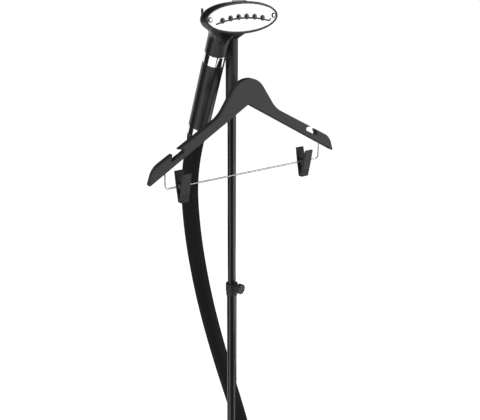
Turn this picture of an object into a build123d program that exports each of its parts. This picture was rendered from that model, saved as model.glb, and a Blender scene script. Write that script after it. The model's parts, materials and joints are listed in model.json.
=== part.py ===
from build123d import *
import os
from math import acos, atan2, cos, degrees, hypot, pi, radians, sin, tan

os.makedirs("parts", exist_ok=True)

# Garment steamer in millimetres.
# Origin on the floor under the mast, front towards -Y, +X to the right, +Z up.

# Clearances
slide_clearance = 0.05      # radial, in sliding tubes and turning pins
seat_clearance = 0.3        # pieces that lift off or stand beside each other
cradle_clearance = 0.6      # round the steam head where it rests in its cradle

# Base shell
base_width = 300.0
base_depth = 310.0
base_corner = 90.0
tray_bottom_z = 10.0
tray_top_z = 56.0
shell_wall = 3.0
deck_thickness = 6.0
housing_top_z = 160.0
housing_fillet = 12.0
base_screw_radius = 2.0
base_screw_head = 3.6
base_screw_bite = 4.5
base_screw_x = 62.0
base_screw_inset = 21.0
screw_boss_radius = 5.5

# Wheels and feet
wheel_radius = 25.0
wheel_width = 18.0
wheel_x = 128.0
wheel_inset = 49.0
wheel_gap = 3.0
wheel_round = 3.0
wheel_dish = 3.0
well_wall = 3.5
axle_radius = 3.0
axle_head_radius = 5.5
axle_head = 2.0
foot_radius = 13.0
foot_spigot = 5.0
foot_x = 92.0
foot_inset = 49.0

# Telescopic mast
mast_foot_z = 42.0
mast_boss_radius = 15.0
lower_tube_od = 20.6
lower_tube_length = 988.0
upper_tube_od = 16.8
upper_tube_length = 640.0
upper_tube_insert = 120.0
tube_wall = 1.2
bush_length = 30.0
bush_flange = 2.0
slider_length = 24.0
slider_spigot = 20.0
socket_flange_radius = 23.0
socket_flange = 5.0
socket_collar_radius = 15.0
socket_height = 30.0

# Clamp at the top of the lower tube
collar_radius = 12.5
collar_skirt_radius = 11.6
collar_skirt = 10.0
collar_below = 21.0
collar_cap = 2.6
knob_bearing = 17.5
knob_drop = 2.0
knob_boss_radius = 6.5
knob_boss_reach = 17.5
knob_radius = 10.5
knob_thickness = 8.5
knob_grooves = 10
knob_groove_radius = 1.8
knob_screw_radius = 2.5

# Handset handle, which leans back as it goes down
handset_x = -37.0
handle_tilt = 22.6
grip_top_y = 5.1
grip_top_drop = 58.4        # below the top of the upper tube
handle_radius = 20.6
grip_length = 140.0
ring_upper_length = 20.0
ring_lower_length = 17.6
handle_wall = 3.4
sleeve_round = 0.3
core_wall = 2.2
core_into_neck = 22.0
steam_pipe_radius = 5.0
steam_pipe_bore = 3.6
steam_pipe_bend = 30.0
cuff_length = 17.0
cuff_big_radius = 19.3
cuff_small_radius = 18.1

# Steam head
plate_width = 142.5
plate_height = 45.5
plate_thickness = 3.0
plate_y = -88.0
plate_rise = 29.6           # plate centre above the top of the upper tube
plate_pitch = 5.0
bezel_side_lip = 3.2
bezel_top_lip = 4.2
bezel_proud = 1.8
bezel_depth = 16.0
bezel_ledge = 4.0
bezel_round = 2.0
gasket_thickness = 1.0
gasket_width = 3.0
head_shell_wall = 2.5
dome_neck_station = 46.0    # where the dome becomes the round neck, above the grip
dome_half_widths = (56.0, 30.0)
dome_half_heights = (28.0, 24.0)
nozzle_count = 6
nozzle_pitch = 16.6
nozzle_radius = 2.4
nozzle_sink_radius = 4.8
nozzle_sink_angle = 100.0
nozzle_arc_radius = 205.0
nozzle_arc_rise = 1.5
groove_drop = 2.2
groove_width = 2.2
groove_depth = 0.9
groove_half_span = 55.0
plate_screw_x = 65.7
plate_screw_radius = 1.5
plate_screw_head = 3.5
plate_screw_gap = 0.8
plate_screw_length = 11.0
plate_screw_sunk = 0.5
bezel_boss_radius = 5.0
chamber_width = 112.0
chamber_height = 34.0
chamber_depth = 11.0
chamber_wall = 1.6
chamber_neck = 9.0
chamber_neck_radius = 7.5
latch_width = 24.0
latch_depth = 9.0
latch_height = 3.2
latch_seat_drop = 0.9
latch_round = 1.3

# Cradle that holds the handset, on the upper tube
sleeve_radius = 11.6
sleeve_length = 130.0
cup_radius = 26.0
cup_height = 24.0
cup_rim = 14.0
cup_top_rise = 6.0
hook_inner_radius = 23.0
hook_outer_radius = 30.0
hook_height = 13.0
hook_end_bearing = 96.0
finger_radius = 2.1
finger_reach = 18.9          # sideways, from the hook's end
finger_knee_rise = 23.0
finger_rise = 45.0
finger_bend = 12.0
sleeve_screw_radius = 2.0
sleeve_screw_rise = 22.0

# Hanger, measured from a datum on its middle line
hanger_datum_drop = 190.0   # below the top of the upper tube
hanger_y = -50.0
hanger_thickness = 13.0
hanger_half_span = 212.0
hanger_crown = 106.5
hanger_crown_radius = 40.5
hanger_flank_angle = 56.2
hanger_arm_angle = 28.6
hanger_arm_rise = 78.5
hanger_shoulder_radius = 60.0
hanger_end_setback = 11.0
hanger_end_radius = 35.0
hanger_end_drop = 31.8
hanger_tip_radius = 1.6
hanger_fork_rise = 58.4
hanger_fork_radius = 6.0
hanger_edge_round = 2.4
notch_inset = 61.8          # from the hanger's end to the tip of the lip over the notch
notch_mouth = 12.8
notch_drop = 12.5
notch_lip = 11.7
notch_undercut = 6.5
notch_round = 2.6
tongue_width = 24.0
tongue_height = 26.0
tongue_thickness = 4.0
tongue_rise = 70.0
tongue_setback = 5.0        # hanger front wall ahead of the tongue
hanger_arm_width = 14.0
hanger_arm_height = 20.0

# Trouser bar and its two clips
bar_radius = 1.5
bar_inset = 35.5
bar_drop = 55.77            # below the slope of the hanger's arm, at the bar's end
bar_bend = 6.0
bar_into_hanger = 8.0
clip_inset = 36.5
clip_width = 17.0
clip_tab_rise = 25.2
clip_tab_spread = 16.4
clip_jaw_drop = 31.0
clip_jaw_thickness = 4.6
clip_tab_thickness = 3.7
clip_waist = 11.8
clip_waist_thickness = 4.6
clip_pivot_radius = 2.4
clip_ear_radius = 4.8
clip_ear = 2.4
clip_jaw_gap = 0.5
clip_rib_depth = 0.6
clip_rib_pitch = 3.0
clip_rib_width = 1.0
clip_rib_count = 5
clip_wire_radius = 0.5
clip_coil_radius = 3.5
clip_coil_pitch = 1.5
clip_coil_turns = 3
clip_leg_rise = 19.0

# Steam hose
hose_radius = 17.4
hose_lead = 80.0            # straight run out of the upper cuff
hose_bend_share = 0.45      # of the shorter run beside each bend
hose_wall = 4.9
liner_wall = 3.0
hose_port_x = 112.0
hose_port_inset = 75.0
port_flange_radius = 21.0
port_flange = 5.0
port_spigot_radius = 8.0
port_bore = 5.0
port_stub_radius = 8.5
port_stub = 14.0
port_cuff_length = 34.0
port_cuff_radius = 20.0

# Water tank
tank_margin = 6.0
tank_depth = 107.0
tank_gap = 6.0
tank_height = 172.0
tank_wall = 2.5
tank_fillet = 10.0
tank_back_round = 12.0
cap_setback = 54.0
fill_radius = 18.0
fill_neck_wall = 3.0
fill_neck = 8.0
cap_wall = 3.0
cap_height = 14.0
cap_grooves = 24
cap_groove_radius = 1.2
bail_pivot_x = 66.0
bail_setback = 22.0
bail_pivot_rise = 9.0
bail_reach = 68.0
bail_width = 9.0
bail_thickness = 8.0
bail_bend = 14.0
bail_pin_radius = 2.5
lug_thickness = 6.0
lug_radius = 7.0

# Tank valve and its seat in the deck
valve_x = -50.0
valve_setback = 31.0
valve_spigot_radius = 11.5
valve_spigot = 8.0
valve_bore = 3.6
valve_stem_radius = 2.8
valve_disc_radius = 7.5
valve_disc = 3.0
valve_guide_radius = 2.0
valve_guide = 16.0
valve_cage_radius = 12.0
valve_cage_wall = 1.8
valve_cage_height = 19.0
valve_stem_reach = 5.0
valve_coil_radius = 4.6
valve_wire_radius = 0.5
valve_coil_turns = 4
seat_wall = 3.5
seat_depth = 11.0
seat_pin_radius = 1.5
seat_flange = 3.5
seat_nipple_radius = 4.0
seat_nipple_bore = 2.4
seat_nipple = 8.0
seat_nipple_shift = 6.0

# Boiler inside the housing
boiler_x = 15.0
boiler_inset = 71.0
boiler_width = 150.0
boiler_depth = 84.0
boiler_bottom_z = 70.0
boiler_height = 40.0
boiler_wall = 5.0
boiler_lid = 8.0
boiler_corner = 14.0
boiler_post_radius = 6.0
boiler_post_x = 58.0
boiler_post_y = 26.0
element_radius = 4.0
element_x = 40.0
element_rise = 16.0
element_tail = 12.0
element_bend = 20.0
feed_radius = 6.0
feed_wall = 1.8
feed_run_z = 24.0
feed_bend = 14.0
feed_riser_gap = 20.0
feed_inlet_rise = 28.0
outlet_radius = 5.0
outlet_wall = 1.5
outlet_x = 70.0
outlet_bend = 10.0
outlet_rise = 15.0

# Steam dial, lamp and cord gland
dial_x = -100.0
dial_inset = 87.0
dial_radius = 21.0
dial_height = 14.0
dial_ribs = 18
dial_rib_radius = 1.3
dial_shaft_radius = 4.0
dial_mark_width = 2.0
dial_mark_depth = 0.8
switch_size = 30.0
switch_height = 20.0
lamp_inset = 131.0
lamp_radius = 4.5
lamp_head_radius = 6.0
lamp_head = 2.4
lamp_stem = 8.0
gland_x = -45.0
gland_z = 82.0
gland_flange = 4.0
gland_flange_radius = 10.0
gland_radius = 6.5
gland_bore = 3.6
gland_inside = 12.0

# Sizes and places worked out from the driving dimensions
base_y = -gland_flange / 2
base_front_y = base_y - base_depth / 2
base_back_y = base_y + base_depth / 2
tank_back_y = base_front_y + tank_margin + tank_depth
housing_front_y = tank_back_y + tank_gap
cap_y = tank_back_y - cap_setback
bail_pivot_y = tank_back_y - bail_setback
valve_y = tank_back_y - valve_setback
foot_y = base_front_y + foot_inset
wheel_y = base_back_y - wheel_inset
hose_port_y = base_back_y - hose_port_inset
boiler_y = base_back_y - boiler_inset
dial_y = base_back_y - dial_inset
lamp_y = base_back_y - lamp_inset
deck_z = tray_top_z + deck_thickness
lower_tube_ir = lower_tube_od / 2 - tube_wall
upper_tube_ir = upper_tube_od / 2 - tube_wall
lower_top = mast_foot_z + lower_tube_length
upper_bottom = lower_top - upper_tube_insert
upper_top = upper_bottom + upper_tube_length
knob_z = lower_top - knob_drop
grip_top_z = upper_top - grip_top_drop
plate_z = upper_top + plate_rise
hanger_z = upper_top - hanger_datum_drop
arm_end_x = hanger_half_span - hanger_end_setback
notch_x = hanger_half_span - notch_inset
bar_x = hanger_half_span - bar_inset
bar_z = hanger_z + hanger_arm_rise - tan(radians(hanger_arm_angle)) * bar_x - bar_drop
clip_x = bar_x - clip_inset
core_radius = handle_radius - handle_wall - slide_clearance
bezel_half_width = plate_width / 2 + bezel_side_lip
bezel_half_height = plate_height / 2 + bezel_top_lip
cuff_start = grip_length + ring_lower_length
hose_start = cuff_start + cuff_length
liner_radius = hose_radius - hose_wall - seat_clearance
liner_bore = liner_radius - liner_wall
port_cuff_top = housing_top_z + port_flange + port_cuff_length
tank_bottom_z = deck_z + seat_clearance
tank_top_z = tank_bottom_z + tank_height

handle_down = Vector(0, sin(radians(handle_tilt)), -cos(radians(handle_tilt)))
plate_back = Vector(0, cos(radians(plate_pitch)), -sin(radians(plate_pitch)))
grip_top = Vector(handset_x, grip_top_y, grip_top_z)
plate_centre = Vector(handset_x, plate_y, plate_z)
knob_out = Vector(sin(radians(knob_bearing)), -cos(radians(knob_bearing)), 0)
knob_plane = Plane(origin=(0, 0, knob_z), x_dir=(0, 0, 1), z_dir=knob_out)


def save(block, name):
    block.part.label = name
    export_step(block.part, f"parts/{name}.step")


def ring(inner, outer):
    Circle(outer)
    Circle(inner, mode=Mode.SUBTRACT)


def oval_ring(inner_half_width, inner_half_height, outer_half_width, outer_half_height):
    Ellipse(outer_half_width, outer_half_height)
    Ellipse(inner_half_width, inner_half_height, mode=Mode.SUBTRACT)


def level(z, x=0, y=0):
    return Plane(origin=(x, y, z))


def handle_plane(station):
    # Square to the handle, its normal pointing down the handle, station 0 at the top of the grip
    return Plane(origin=grip_top + handle_down * station, x_dir=(1, 0, 0), z_dir=handle_down)


def plate_plane(setback):
    # Parallel to the soleplate, its normal pointing forward, setback measured behind its face
    return Plane(origin=plate_centre + plate_back * setback, x_dir=(1, 0, 0), z_dir=-plate_back)


def footprint(margin):
    RectangleRounded(base_width - 2 * margin, base_depth - 2 * margin, base_corner - margin)


# Base tray: an open pan with wheel wells, a foot for the mast and posts for the boiler
boiler_posts = [
    (boiler_x + sx * boiler_post_x, boiler_y + sy * boiler_post_y) for sx in (-1, 1) for sy in (-1, 1)
]
screw_points = [
    (side * base_screw_x, y)
    for side in (-1, 1)
    for y in (base_front_y + base_screw_inset, base_back_y - base_screw_inset)
]
well_inner_x = wheel_x - wheel_width / 2 - wheel_gap
well_radius = wheel_radius + wheel_gap
tray_floor_z = tray_bottom_z + shell_wall

with BuildPart() as base_tray:
    with BuildSketch(level(tray_bottom_z, 0, base_y)):
        footprint(0)
    extrude(amount=tray_top_z - tray_bottom_z)
    with BuildSketch(level(tray_floor_z, 0, base_y)):
        footprint(shell_wall)
    extrude(amount=tray_top_z - tray_floor_z, mode=Mode.SUBTRACT)
    for side in (-1, 1):
        well_plane = Plane(
            origin=(side * (well_inner_x - well_wall), wheel_y, wheel_radius),
            x_dir=(0, side, 0),
            z_dir=(side, 0, 0),
        )
        with BuildSketch(well_plane):
            Rectangle(2 * (well_radius + well_wall), 2 * (tray_top_z - wheel_radius))
        extrude(amount=base_width)
    with BuildSketch(level(tray_bottom_z, 0, base_y)):
        footprint(0)
    extrude(amount=tray_top_z - tray_bottom_z, mode=Mode.INTERSECT)
    for side in (-1, 1):
        wheel_plane = Plane(
            origin=(side * well_inner_x, wheel_y, wheel_radius), x_dir=(0, side, 0), z_dir=(side, 0, 0)
        )
        with BuildSketch(wheel_plane):
            Circle(well_radius)
        extrude(amount=base_width, mode=Mode.SUBTRACT)
    with BuildSketch(level(tray_floor_z)):
        Circle(mast_boss_radius)
    extrude(amount=deck_z - tray_floor_z)
    with BuildSketch(level(mast_foot_z)):
        Circle(lower_tube_od / 2 + slide_clearance)
    extrude(amount=base_depth, mode=Mode.SUBTRACT)
    with BuildSketch(level(tray_floor_z)):
        with Locations(*boiler_posts):
            Circle(boiler_post_radius)
    extrude(amount=boiler_bottom_z - tray_floor_z)
    with BuildSketch(level(tray_floor_z)):
        with Locations(*screw_points):
            Circle(screw_boss_radius)
    extrude(amount=tray_top_z - tray_floor_z)
    with BuildSketch(level(tray_bottom_z)):
        with Locations(*screw_points):
            Circle(base_screw_radius + slide_clearance)
        with Locations((-foot_x, foot_y), (foot_x, foot_y)):
            Circle(foot_spigot + slide_clearance)
    extrude(amount=tray_top_z, mode=Mode.SUBTRACT)
    with BuildSketch(level(tray_bottom_z)):
        with Locations(*screw_points):
            Circle(base_screw_head + seat_clearance)
    extrude(amount=shell_wall, mode=Mode.SUBTRACT)
    with BuildSketch(Plane(origin=(-wheel_x, wheel_y, wheel_radius), z_dir=(1, 0, 0))):
        Circle(axle_radius + slide_clearance)
    extrude(amount=2 * wheel_x, mode=Mode.SUBTRACT)
save(base_tray, "base_tray")

# Housing: a flat deck for the tank in front and a hollow block over the boiler behind

def housing_outline(margin):
    footprint(margin)
    with Locations((0, housing_front_y + margin - base_y - base_depth / 2)):
        Rectangle(base_width, base_depth, mode=Mode.SUBTRACT)


with BuildPart() as housing_room:
    with BuildSketch(level(tray_top_z, 0, base_y)):
        housing_outline(shell_wall)
    extrude(amount=housing_top_z - shell_wall - tray_top_z)
    fillet(housing_room.edges().group_by(Axis.Z)[-1], radius=housing_fillet - shell_wall)

with BuildPart() as base_cover:
    with BuildSketch(level(deck_z, 0, base_y)):
        housing_outline(0)
    extrude(amount=housing_top_z - deck_z)
    fillet(base_cover.edges().group_by(Axis.Z)[-1], radius=housing_fillet)
    with BuildSketch(level(tray_top_z, 0, base_y)):
        footprint(0)
    extrude(amount=deck_thickness)
    add(housing_room.part, mode=Mode.SUBTRACT)
    rear_screw_points = [point for point in screw_points if point[1] > 0]
    with BuildSketch(level(tray_top_z)):
        with Locations(*rear_screw_points):
            Circle(screw_boss_radius)
    extrude(amount=housing_top_z - shell_wall - tray_top_z)
    with BuildSketch(level(tray_top_z)):
        with Locations(*screw_points):
            Circle(base_screw_radius + slide_clearance)
    extrude(amount=base_screw_bite, mode=Mode.SUBTRACT)
    with BuildSketch(level(tray_top_z)):
        with Locations((valve_x, valve_y)):
            Circle(valve_spigot_radius + seat_wall)
    extrude(amount=deck_thickness, mode=Mode.SUBTRACT)
    with BuildSketch(level(housing_top_z - housing_fillet)):
        Circle(lower_tube_od / 2 + seat_clearance)
        with Locations((hose_port_x, hose_port_y)):
            Circle(port_stub_radius + slide_clearance)
        with Locations((dial_x, dial_y)):
            Circle(dial_shaft_radius + seat_clearance)
        with Locations((dial_x, lamp_y)):
            Circle(lamp_radius + slide_clearance)
    extrude(amount=housing_fillet, mode=Mode.SUBTRACT)
    with BuildSketch(Plane(origin=(gland_x, base_back_y, gland_z), z_dir=(0, -1, 0))):
        Circle(gland_radius + slide_clearance)
    extrude(amount=shell_wall, mode=Mode.SUBTRACT)
save(base_cover, "base_cover")

with BuildPart() as base_screws:
    with BuildSketch(level(tray_bottom_z)):
        with Locations(*screw_points):
            Circle(base_screw_head)
    extrude(amount=shell_wall)
    with BuildSketch(level(tray_floor_z)):
        with Locations(*screw_points):
            Circle(base_screw_radius)
    extrude(amount=tray_top_z + base_screw_bite - seat_clearance - tray_floor_z)
save(base_screws, "base_screws")

# Wheels on one axle at the back, feet in front
with BuildPart() as rear_axle:
    axle_half = wheel_x + wheel_width / 2 + seat_clearance
    with BuildSketch(Plane(origin=(-axle_half, wheel_y, wheel_radius), z_dir=(1, 0, 0))):
        Circle(axle_radius)
    extrude(amount=2 * axle_half)
    for side in (-1, 1):
        with BuildSketch(Plane(origin=(side * axle_half, wheel_y, wheel_radius), z_dir=(side, 0, 0))):
            Circle(axle_head_radius)
        extrude(amount=axle_head)
save(rear_axle, "rear_axle")

for side, word in ((-1, "left"), (1, "right")):
    with BuildPart() as wheel:
        inner_face = Plane(
            origin=(side * (wheel_x - wheel_width / 2), wheel_y, wheel_radius), z_dir=(side, 0, 0)
        )
        with BuildSketch(inner_face):
            ring(axle_radius + slide_clearance, wheel_radius)
        extrude(amount=wheel_width)
        circles = wheel.edges().filter_by(GeomType.CIRCLE)
        fillet(circles.filter_by(lambda e: e.radius > axle_head_radius), radius=wheel_round)
        with BuildSketch(inner_face.offset(wheel_width)):
            ring(axle_head_radius + wheel_dish, wheel_radius - wheel_round - wheel_dish)
        extrude(amount=-wheel_dish, mode=Mode.SUBTRACT)
    save(wheel, f"wheel_{word}")

foot_points = [(-foot_x, foot_y), (foot_x, foot_y)]
with BuildPart() as feet:
    with BuildSketch(level(0)):
        with Locations(*foot_points):
            Circle(foot_radius)
    extrude(amount=tray_bottom_z)
    with BuildSketch(level(tray_bottom_z)):
        with Locations(*foot_points):
            Circle(foot_spigot)
    extrude(amount=shell_wall)
save(feet, "feet")

# Mast socket on top of the housing
with BuildPart() as mast_socket:
    with BuildSketch(level(housing_top_z)):
        Circle(socket_flange_radius)
    extrude(amount=socket_flange)
    with BuildSketch(level(housing_top_z)):
        Circle(socket_collar_radius)
    extrude(amount=socket_height)
    with BuildSketch(level(housing_top_z)):
        Circle(lower_tube_od / 2 + slide_clearance)
    extrude(amount=socket_height, mode=Mode.SUBTRACT)
save(mast_socket, "mast_socket")

# Mast tubes
with BuildPart() as lower_tube:
    with BuildSketch(level(mast_foot_z)):
        ring(lower_tube_ir, lower_tube_od / 2)
    extrude(amount=lower_tube_length)
    with BuildSketch(knob_plane):
        Circle(knob_screw_radius + seat_clearance)
    extrude(amount=lower_tube_od, mode=Mode.SUBTRACT)
save(lower_tube, "lower_tube")

with BuildPart() as guide_bush:
    with BuildSketch(level(lower_top - bush_length)):
        Circle(lower_tube_ir - slide_clearance)
    extrude(amount=bush_length)
    with BuildSketch(level(lower_top)):
        Circle(lower_tube_od / 2)
    extrude(amount=bush_flange)
    with BuildSketch(level(lower_top - bush_length)):
        Circle(upper_tube_od / 2 + slide_clearance)
    extrude(amount=bush_length + bush_flange, mode=Mode.SUBTRACT)
    with BuildSketch(knob_plane):
        Circle(knob_screw_radius + seat_clearance)
    extrude(amount=lower_tube_od, mode=Mode.SUBTRACT)
save(guide_bush, "guide_bush")

with BuildPart() as upper_tube:
    with BuildSketch(level(upper_bottom)):
        ring(upper_tube_ir, upper_tube_od / 2)
    extrude(amount=upper_tube_length)
save(upper_tube, "upper_tube")

with BuildPart() as tube_slider:
    with BuildSketch(level(upper_bottom - slider_length)):
        Circle(lower_tube_ir - 2 * slide_clearance)
    extrude(amount=slider_length)
    with BuildSketch(level(upper_bottom)):
        Circle(upper_tube_ir - slide_clearance)
    extrude(amount=slider_spigot)
save(tube_slider, "tube_slider")

# Clamp collar and its thumb knob
collar_bottom = lower_top - collar_below
collar_cap_z = lower_top + bush_flange

with BuildPart() as clamp_collar:
    with BuildSketch(level(collar_bottom)):
        Circle(collar_skirt_radius)
    extrude(amount=collar_skirt)
    with BuildSketch(level(collar_bottom + collar_skirt)):
        Circle(collar_radius)
    extrude(amount=collar_cap_z + collar_cap - collar_bottom - collar_skirt)
    with BuildSketch(knob_plane):
        Circle(knob_boss_radius)
    extrude(amount=knob_boss_reach)
    with BuildSketch(level(collar_bottom)):
        Circle(lower_tube_od / 2 + slide_clearance)
    extrude(amount=collar_cap_z - collar_bottom, mode=Mode.SUBTRACT)
    with BuildSketch(level(collar_cap_z)):
        Circle(upper_tube_od / 2 + seat_clearance)
    extrude(amount=collar_cap, mode=Mode.SUBTRACT)
    with BuildSketch(knob_plane):
        Circle(knob_screw_radius + slide_clearance)
    extrude(amount=knob_boss_reach, mode=Mode.SUBTRACT)
save(clamp_collar, "clamp_collar")

knob_face = knob_boss_reach + seat_clearance
with BuildPart() as clamp_knob:
    with BuildSketch(knob_plane.offset(knob_face)):
        Circle(knob_radius)
        with PolarLocations(knob_radius + knob_groove_radius / 2, knob_grooves):
            Circle(knob_groove_radius, mode=Mode.SUBTRACT)
    extrude(amount=knob_thickness)
    with BuildSketch(knob_plane.offset(upper_tube_od / 2 + seat_clearance)):
        Circle(knob_screw_radius)
    extrude(amount=knob_face - upper_tube_od / 2)
save(clamp_knob, "clamp_knob")

# Steam head: soleplate, bezel, gasket, chamber and screws
nozzle_points = []
for number in range(nozzle_count):
    across = (number - (nozzle_count - 1) / 2) * nozzle_pitch
    drop = nozzle_arc_radius - (nozzle_arc_radius**2 - across**2) ** 0.5
    nozzle_points.append((across, nozzle_arc_rise - drop))
plate_screw_points = [(-plate_screw_x, 0), (plate_screw_x, 0)]

with BuildPart() as steam_plate:
    with BuildSketch(plate_plane(0)):
        Ellipse(plate_width / 2, plate_height / 2)
    extrude(amount=-plate_thickness)
    with Locations(plate_plane(0)):
        with Locations(*nozzle_points):
            CounterSinkHole(
                nozzle_radius,
                nozzle_sink_radius,
                depth=plate_thickness,
                counter_sink_angle=nozzle_sink_angle,
            )
        with Locations(*plate_screw_points):
            CounterSinkHole(plate_screw_radius + seat_clearance, plate_screw_head + plate_screw_gap)
    groove_radius = nozzle_arc_radius - groove_drop
    groove_centre_y = nozzle_arc_rise - nozzle_arc_radius
    groove_turn = 2 * degrees(atan2(groove_half_span, groove_radius))
    with BuildSketch(plate_plane(0)):
        with BuildLine() as groove_line:
            CenterArc((0, groove_centre_y), groove_radius, 90 - groove_turn / 2, groove_turn)
        trace(groove_line.line, groove_width)
    extrude(amount=-groove_depth, mode=Mode.SUBTRACT)
save(steam_plate, "steam_plate")

ledge_half_width = plate_width / 2 - bezel_ledge
ledge_half_height = plate_height / 2 - bezel_ledge
with BuildPart() as head_bezel:
    with BuildSketch(plate_plane(-bezel_proud)):
        Ellipse(bezel_half_width, bezel_half_height)
    extrude(amount=-bezel_proud - bezel_depth)
    front_edge = head_bezel.edges().filter_by(GeomType.ELLIPSE).sort_by(Axis.Y)[0]
    fillet(front_edge, radius=bezel_round)
    with BuildSketch(plate_plane(-bezel_proud)):
        Ellipse(plate_width / 2 + seat_clearance, plate_height / 2 + seat_clearance)
    extrude(amount=-bezel_proud - plate_thickness - gasket_thickness, mode=Mode.SUBTRACT)
    with BuildSketch(plate_plane(0)):
        Ellipse(ledge_half_width, ledge_half_height)
    extrude(amount=-bezel_depth, mode=Mode.SUBTRACT)
    with BuildSketch(plate_plane(plate_thickness)):
        with Locations(*plate_screw_points):
            Circle(bezel_boss_radius)
    extrude(amount=plate_thickness - bezel_depth)
    with BuildSketch(plate_plane(0)):
        with Locations(*plate_screw_points):
            Circle(plate_screw_radius + slide_clearance)
    extrude(amount=-plate_screw_length, mode=Mode.SUBTRACT)
    with BuildSketch(plate_plane((bezel_depth - latch_depth) / 2)):
        with Locations((0, bezel_half_height - latch_seat_drop + latch_height)):
            Rectangle(latch_width + 2 * seat_clearance, 2 * latch_height)
    extrude(amount=-latch_depth, mode=Mode.SUBTRACT)
save(head_bezel, "head_bezel")

with BuildPart() as brush_latch:
    with BuildSketch(plate_plane((bezel_depth - latch_depth) / 2)):
        with Locations((0, bezel_half_height - latch_seat_drop + latch_height / 2)):
            Rectangle(latch_width, latch_height)
    extrude(amount=-latch_depth)
    fillet(brush_latch.edges().filter_by(Axis.X).group_by(Axis.Z)[-1], radius=latch_round)
save(brush_latch, "brush_latch")

with BuildPart() as plate_gasket:
    with BuildSketch(plate_plane(plate_thickness)):
        oval_ring(
            plate_width / 2 - gasket_width,
            plate_height / 2 - gasket_width,
            plate_width / 2,
            plate_height / 2,
        )
        with Locations(*plate_screw_points):
            Circle(bezel_boss_radius + seat_clearance, mode=Mode.SUBTRACT)
    extrude(amount=-gasket_thickness)
save(plate_gasket, "plate_gasket")

with BuildPart() as steam_chamber:
    with BuildSketch(plate_plane(plate_thickness)):
        Ellipse(chamber_width / 2, chamber_height / 2)
    extrude(amount=-chamber_depth)
    with BuildSketch(plate_plane(plate_thickness)):
        Ellipse(chamber_width / 2 - chamber_wall, chamber_height / 2 - chamber_wall)
    extrude(amount=chamber_wall - chamber_depth, mode=Mode.SUBTRACT)
    with BuildSketch(plate_plane(plate_thickness + chamber_depth)):
        Circle(chamber_neck_radius)
    extrude(amount=-chamber_neck)
    with BuildSketch(plate_plane(plate_thickness)):
        Circle(steam_pipe_radius + slide_clearance)
    extrude(amount=-chamber_depth - chamber_neck, mode=Mode.SUBTRACT)
save(steam_chamber, "steam_chamber")

head_taper = plate_screw_head - plate_screw_sunk - plate_screw_radius
with BuildPart() as plate_screws:
    for across, rise in plate_screw_points:
        screw_plane = Plane(
            origin=plate_plane(plate_screw_sunk).from_local_coords((across, rise, 0)),
            x_dir=(1, 0, 0),
            z_dir=-plate_back,
        )
        with BuildSketch(screw_plane):
            Circle(plate_screw_head - plate_screw_sunk)
        with BuildSketch(screw_plane.offset(-head_taper)):
            Circle(plate_screw_radius)
        loft()
        with BuildSketch(screw_plane):
            Circle(plate_screw_radius)
        extrude(amount=plate_screw_sunk - plate_screw_length)
        with BuildSketch(screw_plane):
            Rectangle(plate_screw_head, plate_screw_sunk)
            Rectangle(plate_screw_sunk, plate_screw_head)
        extrude(amount=-plate_screw_sunk, mode=Mode.SUBTRACT)
save(plate_screws, "plate_screws")

# The dome behind the bezel bends from the soleplate's direction into the handle's
turn_total = 90 - handle_tilt - plate_pitch
dome_start = plate_centre + plate_back * bezel_depth
dome_end = grip_top - handle_down * dome_neck_station
meet_y = dome_end.Y - dome_start.Y
meet_z = dome_end.Z - dome_start.Z
turn_sine = plate_back.Y * handle_down.Z - plate_back.Z * handle_down.Y
reach_back = (meet_y * handle_down.Z - meet_z * handle_down.Y) / turn_sine
dome_corner = dome_start + plate_back * reach_back


def dome_point(share):
    # Quadratic curve from the bezel's back to the neck, tangent to both directions
    before = dome_start * (1 - share) ** 2
    middle = dome_corner * (2 * share * (1 - share))
    return before + middle + dome_end * share**2


def dome_plane(share):
    heading = radians(plate_pitch + turn_total * share)
    return Plane(origin=dome_point(share), x_dir=(1, 0, 0), z_dir=(0, cos(heading), -sin(heading)))


def dome_sections(grow):
    half_widths = (bezel_half_width, *dome_half_widths, handle_radius)
    half_heights = (bezel_half_height, *dome_half_heights, handle_radius)
    last = len(half_widths) - 1
    sections = []
    for number, (half_width, half_height) in enumerate(zip(half_widths, half_heights)):
        with BuildSketch(dome_plane(number / last)) as section:
            Ellipse(half_width + grow, half_height + grow)
        sections.append(section.sketch)
    return sections


neck_length = dome_neck_station - ring_upper_length
with BuildPart() as head_shell:
    loft(dome_sections(0))
    with BuildSketch(handle_plane(-dome_neck_station)):
        Circle(handle_radius)
    extrude(amount=neck_length)
    loft(dome_sections(-head_shell_wall), mode=Mode.SUBTRACT)
    with BuildSketch(handle_plane(-dome_neck_station)):
        Circle(handle_radius - head_shell_wall)
    extrude(amount=neck_length - core_into_neck, mode=Mode.SUBTRACT)
    with BuildSketch(handle_plane(-ring_upper_length)):
        Circle(core_radius + slide_clearance)
    extrude(amount=-core_into_neck, mode=Mode.SUBTRACT)
save(head_shell, "head_shell")

# Handle: a core tube carries the two chrome rings and the grip
with BuildPart() as handle_core:
    with BuildSketch(handle_plane(-ring_upper_length - core_into_neck)):
        ring(core_radius - core_wall, core_radius)
    extrude(amount=ring_upper_length + core_into_neck + cuff_start)
save(handle_core, "handle_core")


def handle_sleeve(start, length, name):
    with BuildPart() as sleeve:
        with BuildSketch(handle_plane(start)):
            ring(core_radius + slide_clearance, handle_radius)
        extrude(amount=length)
        circles = sleeve.edges().filter_by(GeomType.CIRCLE)
        fillet(circles.filter_by(lambda e: e.radius > core_radius + handle_wall / 2), radius=sleeve_round)
    save(sleeve, name)


handle_sleeve(-ring_upper_length, ring_upper_length, "handle_ring_upper")
handle_sleeve(0, grip_length, "handle_grip")
handle_sleeve(grip_length, ring_lower_length, "handle_ring_lower")

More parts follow.
